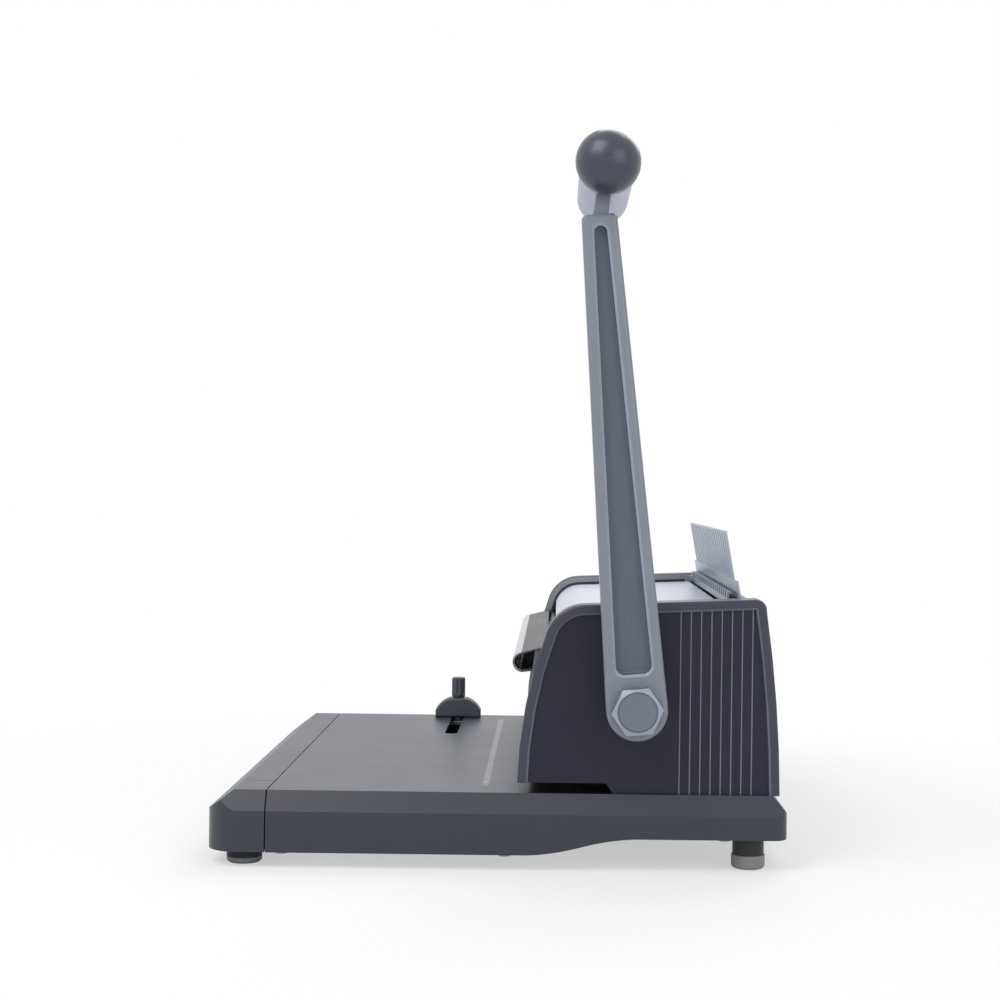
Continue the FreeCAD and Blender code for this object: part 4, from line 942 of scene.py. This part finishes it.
    def _bolt(self) -> Surface:
        """Hexagon head with the corners turned off by a cone, and a ring groove in its face.

        At each angle the side is the flat's distance over the cosine from its middle, and
        the top edge drops by the overhang past the first ring times the cone's tangent.
        Each ring of the face has a radius and a depth.

        Returns:
            The bolt's surface, upright.
        """
        angle = np.linspace(0, math.tau, 96, endpoint=False)
        side = self.bolt_flats / 2 / np.cos((angle % (math.pi / 3)) - math.pi / 6)
        drop = np.maximum(side - self.bolt_rings[0][0], 0) * math.tan(self.bolt_cone)
        face = self.outer_x + self.bolt_head
        flat = np.ones_like(angle)
        rings = [(self.outer_x * flat, side), (face - drop, side)]
        rings += [((face - deep) * flat, radius) for radius, deep in self.bolt_rings]
        rows = [np.column_stack([x, r * np.cos(angle), r * np.sin(angle)]) for x, r in rings]
        surface = Surface()
        # the chamfer band takes paint 1, a painted highlight
        surface.bands(np.stack(rows), True, (0, 2, 0), (1, 3, 1), (2, None, 0))
        surface.flat(rows[-1])
        return surface

    def _ball(self) -> np.ndarray:
        """Ball cut flat where it meets the eye, with a small dimple at its outer pole.

        Returns:
            The ball's profile.
        """
        start = math.acos((self.eye_x[1] - self.ball_x) / self.ball)
        pole = math.asin(self.gate / self.ball)
        angle = np.linspace(start, pole, 60)
        skin = self.ball * np.column_stack([np.cos(angle), np.sin(angle)]) + [self.ball_x, 0]
        tip = skin[-1, 0]
        dimple = [(tip - self.gate_deep, self.gate * 0.75), (tip - self.gate_deep, 0.0)]
        return np.concatenate([[(self.eye_x[1], 0.0)], skin, dimple])

    def _tube(self) -> np.ndarray:
        """Smooth sleeve with softly rounded ends.

        Returns:
            The sleeve's profile.
        """
        far, near = ends = self.tube_end_x, self.eye_x[0]
        skin = [(x, self.tube - inset) for inset, x in rounded(*ends, self.tube_edge)]
        return np.array([(far, self.tube - self.tube_wall), *skin, (near, self.rod)])

    def _plug(self) -> np.ndarray:
        """Low dome that closes the sleeve's inner end.

        The dome is part of a ball whose cap has this height and the sleeve's radius.

        Returns:
            The plug's profile.
        """
        reach = self.tube - 1.0
        ball = (reach ** 2 + self.dome_high ** 2) / (2 * self.dome_high)
        radius = np.linspace(reach, 0, 16)
        x = self.tube_end_x - (np.sqrt(ball ** 2 - radius ** 2) - (ball - self.dome_high))
        return np.array([(self.tube_end_x + 0.5, reach), *zip(x, radius)])


@dataclass(frozen=True)
class Housing:
    """Moulded cheeks, bright cover and folded lip."""

    deck: float = DECK
    front: float = 12.2
    rear: float = 170.9
    high: float = 164.5
    inner_x: float = 168.5
    outer_x: float = 186.5
    rim: float = 6.3
    proud: float = 2.4
    bevel: float = 1.0
    flange: float = 4.4
    fillet: float = 1.6
    web: float = 3.0
    web_lap: float = 0.5
    throat: float = 6.0
    throat_end: float = 70.0
    throat_slant: float = 4.0
    ridges: int = 8
    ridge_pitch: float = 6.23
    ridge_from_rear: float = 60.9
    ridge_width: float = 0.9
    ridge_proud: float = 0.7
    ridge_fade: float = 1.5
    cover_below: float = 6.0
    cover_sheet: float = 1.2
    cover_half: float = 161.5
    cover_low: float = 134.5
    cover_rear: float = 139.5
    cover_turn: float = 6.0
    cover_bend: float = 2.0
    lip_half: float = 168.0
    lip_sheet: float = 1.2
    lip_root: Pair = (29.0, 132.0)
    lip_reach: float = 21.0
    lip_slope: float = 2.6
    lip_roll: float = 6.2
    lip_return: float = 6.0

    def build(self, shop: Workshop) -> None:
        """Make both cheeks, the cover and the lip.

        Args:
            shop: the workshop.
        """
        look = shop.palette
        paints = [look.face, look.ridge_highlight, look.edge, look.flange]
        for side, way in (("right", 1), ("left", -1)):
            cheek = self._cheek().moved(lambda points: points * [way, 1, 1])
            shop.piece(cheek, side + "_cheek_moulding", look.cheek, side + "_cheek",
                       others=paints)
        cover = shop.piece(self._cover(), "bright_cover", look.silver, "top_cover")
        modify(cover, "SOLIDIFY", thickness=self.cover_sheet * MM)
        shop.piece(self._lip(), "rolled_lip", look.brushed, "front_lip", others=[look.roll])

    def side(self) -> Outline:
        """Side view of a cheek, from its front foot over the crown to its rear foot.

        Returns:
            The open outline in Y and Z.
        """
        front, rear, high = self.front, self.rear, self.high
        return Outline([
            (front, self.deck),
            (front, self.deck + 4.0),
            (front + 3.1, high - 74.5, True),
            (front + 16.8, high - 21.0),
            (front + 25.8, high - 9.3, True),
            (front + 39.8, high - 4.5),
            (rear - 15.4, high),
            (rear - 11.1, high - 1.9, True),
            (rear - 9.1, high - 7.0),
            (rear - 3.3, high - 54.5, True),
            (rear, self.deck),
        ], closed=False)

    def _path(self, outline: Outline, inset: float) -> np.ndarray:
        """The side view set in, with its feet at the throat's roof and on the deck.

        Args:
            outline: the side view.
            inset: how far in.

        Returns:
            Points in Y and Z.
        """
        path = outline.inset(inset)
        path[0, 1] = self.deck + self.throat
        path[1, 1] = self.deck + self.throat + 0.5
        path[-1, 1] = self.deck
        return path

    def _cheek(self) -> Surface:
        """Hollow cheek: a rim swept along the side view, a recessed face and its ridges.

        Returns:
            The right cheek's surface.
        """
        outline = self.side()
        face = self.outer_x - self.proud
        back = face - self.web
        outer = rounded(self.inner_x, self.outer_x, self.fillet)[5:]
        stations = [(self.rim, back), (self.rim, self.inner_x), (self.flange, self.inner_x),
                    (0.5, self.inner_x), (0.0, self.inner_x + 0.5)] + outer
        stations += [(self.rim - self.bevel, self.outer_x), (self.rim, self.outer_x - self.bevel),
                     (self.rim, face + 0.5), (self.rim + 0.5, face)]
        rows = np.stack([along_x(self._path(outline, inset), x) for inset, x in stations])
        surface = Surface()
        # paint 3 on the rim's inner bevel is a painted highlight
        surface.bands(rows, False, (0, 3, 0), (2, 4, 4), (3, -3, 0), (-4, -2, 3), (-3, None, 0))
        surface.flat(rows[:, 0])
        surface.flat(rows[:, -1])
        step = np.array([(self.throat_end, self.deck),
                         (self.throat_end - self.throat_slant, self.deck + self.throat)])
        for paint, (inset, x) in enumerate(((self.rim, back), (self.rim + self.web_lap, face))):
            loop = np.concatenate([self._path(outline, inset), step])
            surface.flat(along_x(loop, x), paint=paint)
        self._ridges(surface, outline, face)
        return surface

    def _ridges(self, surface: Surface, outline: Outline, face: float) -> None:
        """Upright half-round ridges that fade into the face under the rim.

        Across a ridge the height is its full height times the cosine of the place.

        Args:
            surface: surface to add to.
            outline: the side view.
            face: X of the recessed face.
        """
        across = np.linspace(-QUARTER, QUARTER, 9)
        crown = outline.inset(self.rim)
        for number in range(self.ridges):
            y = self.rear - self.ridge_from_rear + self.ridge_pitch * number
            top = self._height(crown, y)
            stations = [(self.deck, 1.0), (top - self.ridge_fade, 1.0), (top, 0.7)]
            z, share = np.array(stations).T[:, :, None]
            x = face - 0.05 + self.ridge_proud * share * np.cos(across)
            place = y + self.ridge_width / 2 * np.sin(across)
            # the ridges take paint 2, a painted highlight
            surface.grid(np.stack(np.broadcast_arrays(x, place, z), -1), paint=2)

    def _height(self, path: np.ndarray, y: float) -> float:
        """Height of the upper part of a path at Y.

        Args:
            path: points in Y and Z that run from front to rear.
            y: place.

        Returns:
            The greatest height found there.
        """
        before, after = path[:-1], path[1:]
        spans = (before[:, 0] - y) * (after[:, 0] - y) <= 0
        share = (y - before[spans, 0]) / (after[spans, 0] - before[spans, 0] + 1e-9)
        return float(np.max(before[spans, 1] + share * (after[spans, 1] - before[spans, 1])))

    def _cover(self) -> Surface:
        """Bright sheet that follows the cheeks' outline, turned down along both sides.

        Returns:
            The sheet's outer surface.
        """
        path = self.side().inset(self.cover_below)
        keep = path[(path[:, 1] > self.cover_low) & (path[:, 0] < self.cover_rear)]
        end = (self.cover_rear, self._height(path, self.cover_rear))
        low = np.array([keep[0] + (keep[0] - keep[1]) * 0.5])
        low[0, 1] = self.cover_low
        line = np.concatenate([low, keep, [end]])
        line = Outline([tuple(point) for point in line], closed=False)
        half, turn = self.cover_half, self.cover_turn
        stations = [(turn, -half), *rounded(-half, half, self.cover_bend, 5), (turn, half)]
        rows = np.stack([along_x(line.inset(drop), x) for drop, x in stations])
        return Surface().grid(rows)

    def _lip(self) -> Surface:
        """Folded strip of constant thickness, rolled over its tip and returned below.

        Returns:
            The lip's surface.
        """
        root_y, z = self.lip_root
        roll, inner = self.lip_roll, self.lip_roll - self.lip_sheet
        y, low = root_y - self.lip_reach + roll, z - self.lip_slope - roll
        outline = Outline([
            (y + self.lip_return, low - roll + 0.8),
            (y, low - roll),
            (y - roll, low, True),
            (y, low + roll),
            (root_y, z + self.lip_sheet),
            (root_y, z),
            (y, low + inner),
            (y - inner, low, True),
            (y, low - inner),
            (y + self.lip_return, low - inner + 0.8),
        ])
        # the rolled tip takes paint 1, a painted highlight
        rolled = np.where(outline.points[:, 0] < y - 0.2 * roll, 1, 0)
        ends = rounded(-self.lip_half, self.lip_half, 0.3, 2)
        return Surface().slab(outline, ends, along_x, paint=rolled)


@dataclass(frozen=True)
class RingOpener:
    """Upright steel comb that leans back."""

    foot: Pair = (146.5, 164.0)
    lean: float = 10.2
    sheet: float = 1.5
    edge: float = 0.35
    wide_half: float = 168.0
    low_half: float = 158.2
    shoulder: float = 6.0
    below: float = 40.0
    above: float = 41.6
    finger: float = 6.0
    finger_long: float = 31.0
    corner: float = 1.6
    pitch: float = 14.2875
    fingers: int = 21

    def build(self, shop: Workshop) -> None:
        """Make the comb plate with its row of round-topped fingers.

        Args:
            shop: the workshop.
        """
        root, half = self.above - self.finger_long, self.finger / 2
        fingers: list[tuple] = []
        for number in range(self.fingers):
            x = self.pitch * (number - (self.fingers - 1) / 2)
            tip = corner(x - half, self.above, self.corner, self.corner)
            fingers += mirrored([(x - half, root), *tip], centre=x)
        side = [(-self.low_half, -self.below), (-self.low_half, -self.shoulder),
                (-self.wide_half, -self.shoulder), (-self.wide_half, root)]
        outline = Outline(mirrored(side, *fingers))
        plate = Surface().slab(outline, rounded(0.0, self.sheet, self.edge, 3), along_y)
        plate.moved(leaning(self.lean, *self.foot))
        shop.piece(plate, "comb", shop.palette.comb, "comb_plate")


@dataclass(frozen=True)
class EdgeGuide:
    """Block with round shoulders and a fluted thumb knob."""

    at: Pair = (-176.0, -43.0)
    width: float = 36.0
    depth: float = 14.0
    low: float = 46.3
    tall: float = 15.0
    shoulder: Pair = (11.0, 9.5)
    bulge: float = 0.4
    knob: float = 5.5
    knob_tall: float = 16.0
    flutes: int = 8
    flute_deep: float = 0.9
    edge: float = 1.5
    key: float = 4.4
    key_low: float = 43.5

    def build(self, shop: Workshop) -> None:
        """Make the block and the knob.

        Args:
            shop: the workshop.
        """
        look = shop.palette.guide
        shop.piece(self._block(), "guide_block", look, "edge_guide_block", "edge_guide")
        shop.piece(self._knob(), "guide_knob_cap", look, "edge_guide_knob", "guide_knob", 60.0)

    def _block(self) -> Surface:
        """Block and the key below it that runs in the slot.

        Returns:
            The block's surface.
        """
        x, y = self.at
        half, (wide, drop) = self.width / 2, self.shoulder
        top = self.low + self.tall
        shoulder = corner(y - half, top, wide, drop, self.bulge)
        outline = Outline(mirrored([(y - half, self.low), *shoulder], centre=y))
        block = rounded(x - self.depth / 2, x + self.depth / 2, self.edge)
        key = np.array([(self.key_low, 0.0), (self.key_low, self.key), (self.low + 0.5, self.key)])
        return Surface().slab(outline, block, along_x).turned(key, self.at, "z", 48)

    def _knob(self) -> Surface:
        """Knob whose radius dips in a smooth wave round its upper part.

        The radius is the knob's, less a share of the flutes' depth times the square of a
        raised cosine of the angle; the share grows from nought above the foot.

        Returns:
            The knob's surface.
        """
        angle = np.linspace(0, math.tau, 128, endpoint=False)
        dip = ((1 + np.cos(self.flutes * angle)) / 2) ** 2
        foot = self.low + self.tall + 0.3
        top = foot + self.knob_tall
        stations = [(foot, 1.2, 0.0), (foot + 0.4, 0.3, 0.0), (foot + 2.6, 0.0, 0.0),
                    (foot + 3.2, 0.0, 0.6), (foot + 3.8, 0.0, 1.0), (top - 1.4, 0.0, 1.0),
                    (top - 0.7, 0.25, 1.0), (top - 0.2, 0.8, 0.9), (top, 1.7, 0.5),
                    (top, 3.2, 0.0)]
        z, inset, share = np.array(stations).T[:, :, None]
        radius = self.knob - inset - self.flute_deep * share * dip
        x, y = self.at[0] + radius * np.cos(angle), self.at[1] + radius * np.sin(angle)
        rows = np.stack(np.broadcast_arrays(x, y, z), -1)
        return Surface().grid(rows, around=True, ends=True)


@dataclass(frozen=True)
class PullSprings:
    """Two springs from the tie bar to the punch bar, which stretch as the bar drops."""

    at: Pair = (100.0, 65.0)
    low: float = 87.01
    high: float = 124.2
    coil: float = 4.5
    wire: float = 0.7
    turns: int = 6

    def build(self, shop: Workshop) -> None:
        """Make both springs as one piece, left unattached to any body.

        Args:
            shop: the workshop.
        """
        surface = Surface()
        for side in (-1, 1):
            surface.grid(self._coil(side * self.at[0]), around=True, ends=True)
        piece = shop.piece(surface, "pull_springs", shop.palette.spring, "return_springs",
                           "", 60.0)
        top, foot = ((0.0, self.at[1] * MM, z * MM) for z in (self.high, self.low))
        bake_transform(piece)
        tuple(top)
        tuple(foot)

    def _coil(self, x: float) -> np.ndarray:
        """Round wire carried along a helix.

        A point of the wire's circle lies along the coil's own radius and along the
        direction square to both that radius and the helix's slope.

        Args:
            x: place of the coil's axis.

        Returns:
            Rows of points, one row for each place along the wire.
        """
        reach = self.high - self.low - 2 * self.wire
        turn = np.linspace(0, math.tau * self.turns, 24 * self.turns + 1)[:, None]
        rise = reach / (math.tau * self.turns)
        round_wire = np.linspace(0, math.tau, 12, endpoint=False)[None, :]
        out = self.coil + self.wire * np.cos(round_wire)
        over = self.wire * np.sin(round_wire) / math.hypot(self.coil, rise)
        return np.stack([
            x + out * np.cos(turn) + over * rise * np.sin(turn),
            self.at[1] + out * np.sin(turn) - over * rise * np.cos(turn),
            self.low + self.wire + rise * turn + over * self.coil,
        ], -1)


@dataclass
class CadDress:
    """Finishes and softened edges for the CAD nodes that stay in view."""

    palette: Palette
    weld_mm: float = 0.01
    flat: float = 1.5
    edge_mm: float = 0.3
    segments: int = 2
    angle: float = 28.0

    def dress(self, nodes: dict[str, bpy.types.Object], slots: dict[str, str]) -> None:
        """Give every CAD node its finish, and soft edges where it is shown.

        Args:
            nodes: CAD objects by name.
            slots: material slot of each node.
        """
        finishes = self.palette.by_slot()
        for name, node in nodes.items():
            material = finishes[slots[name]].material()
            node.data.materials.clear()
            node.data.materials.append(material)
            if not node.hide_render:
                self._soften(node)
        LOG.info("%d CAD nodes dressed", len(nodes))

    def _soften(self, node: bpy.types.Object) -> None:
        """Weld the facets, join the flat ones, round the edges and weight the normals.

        Args:
            node: CAD object; its own mesh isn't changed.
        """
        modify(node, "WELD", merge_threshold=self.weld_mm * MM)
        modify(node, "DECIMATE", decimate_type="DISSOLVE", angle_limit=math.radians(self.flat))
        modify(node, "BEVEL", width=self.edge_mm * MM, segments=self.segments,
               limit_method="ANGLE", angle_limit=math.radians(self.angle), harden_normals=True)
        modify(node, "WEIGHTED_NORMAL", keep_sharp=True)


def main() -> None:
    """Dress the machine, light it and place the camera."""
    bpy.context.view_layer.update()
    palette = Palette()
    low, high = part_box("base_shell")
    sideways = (low.x + high.x) / 2 / MM
    shop = Workshop(palette, sideways)
    for assembly in (Lever(), Housing(), RingOpener(), EdgeGuide(), PullSprings()):
        assembly.build(shop)
    slots = {part["node"]: part["material_slot"] for part in frame["record"]["subparts"]}
    CadDress(palette).dress(frame["nodes"], slots)
    Studio().build()
    Viewpoint().place(sideways)


if __name__ == "__main__":
    main()
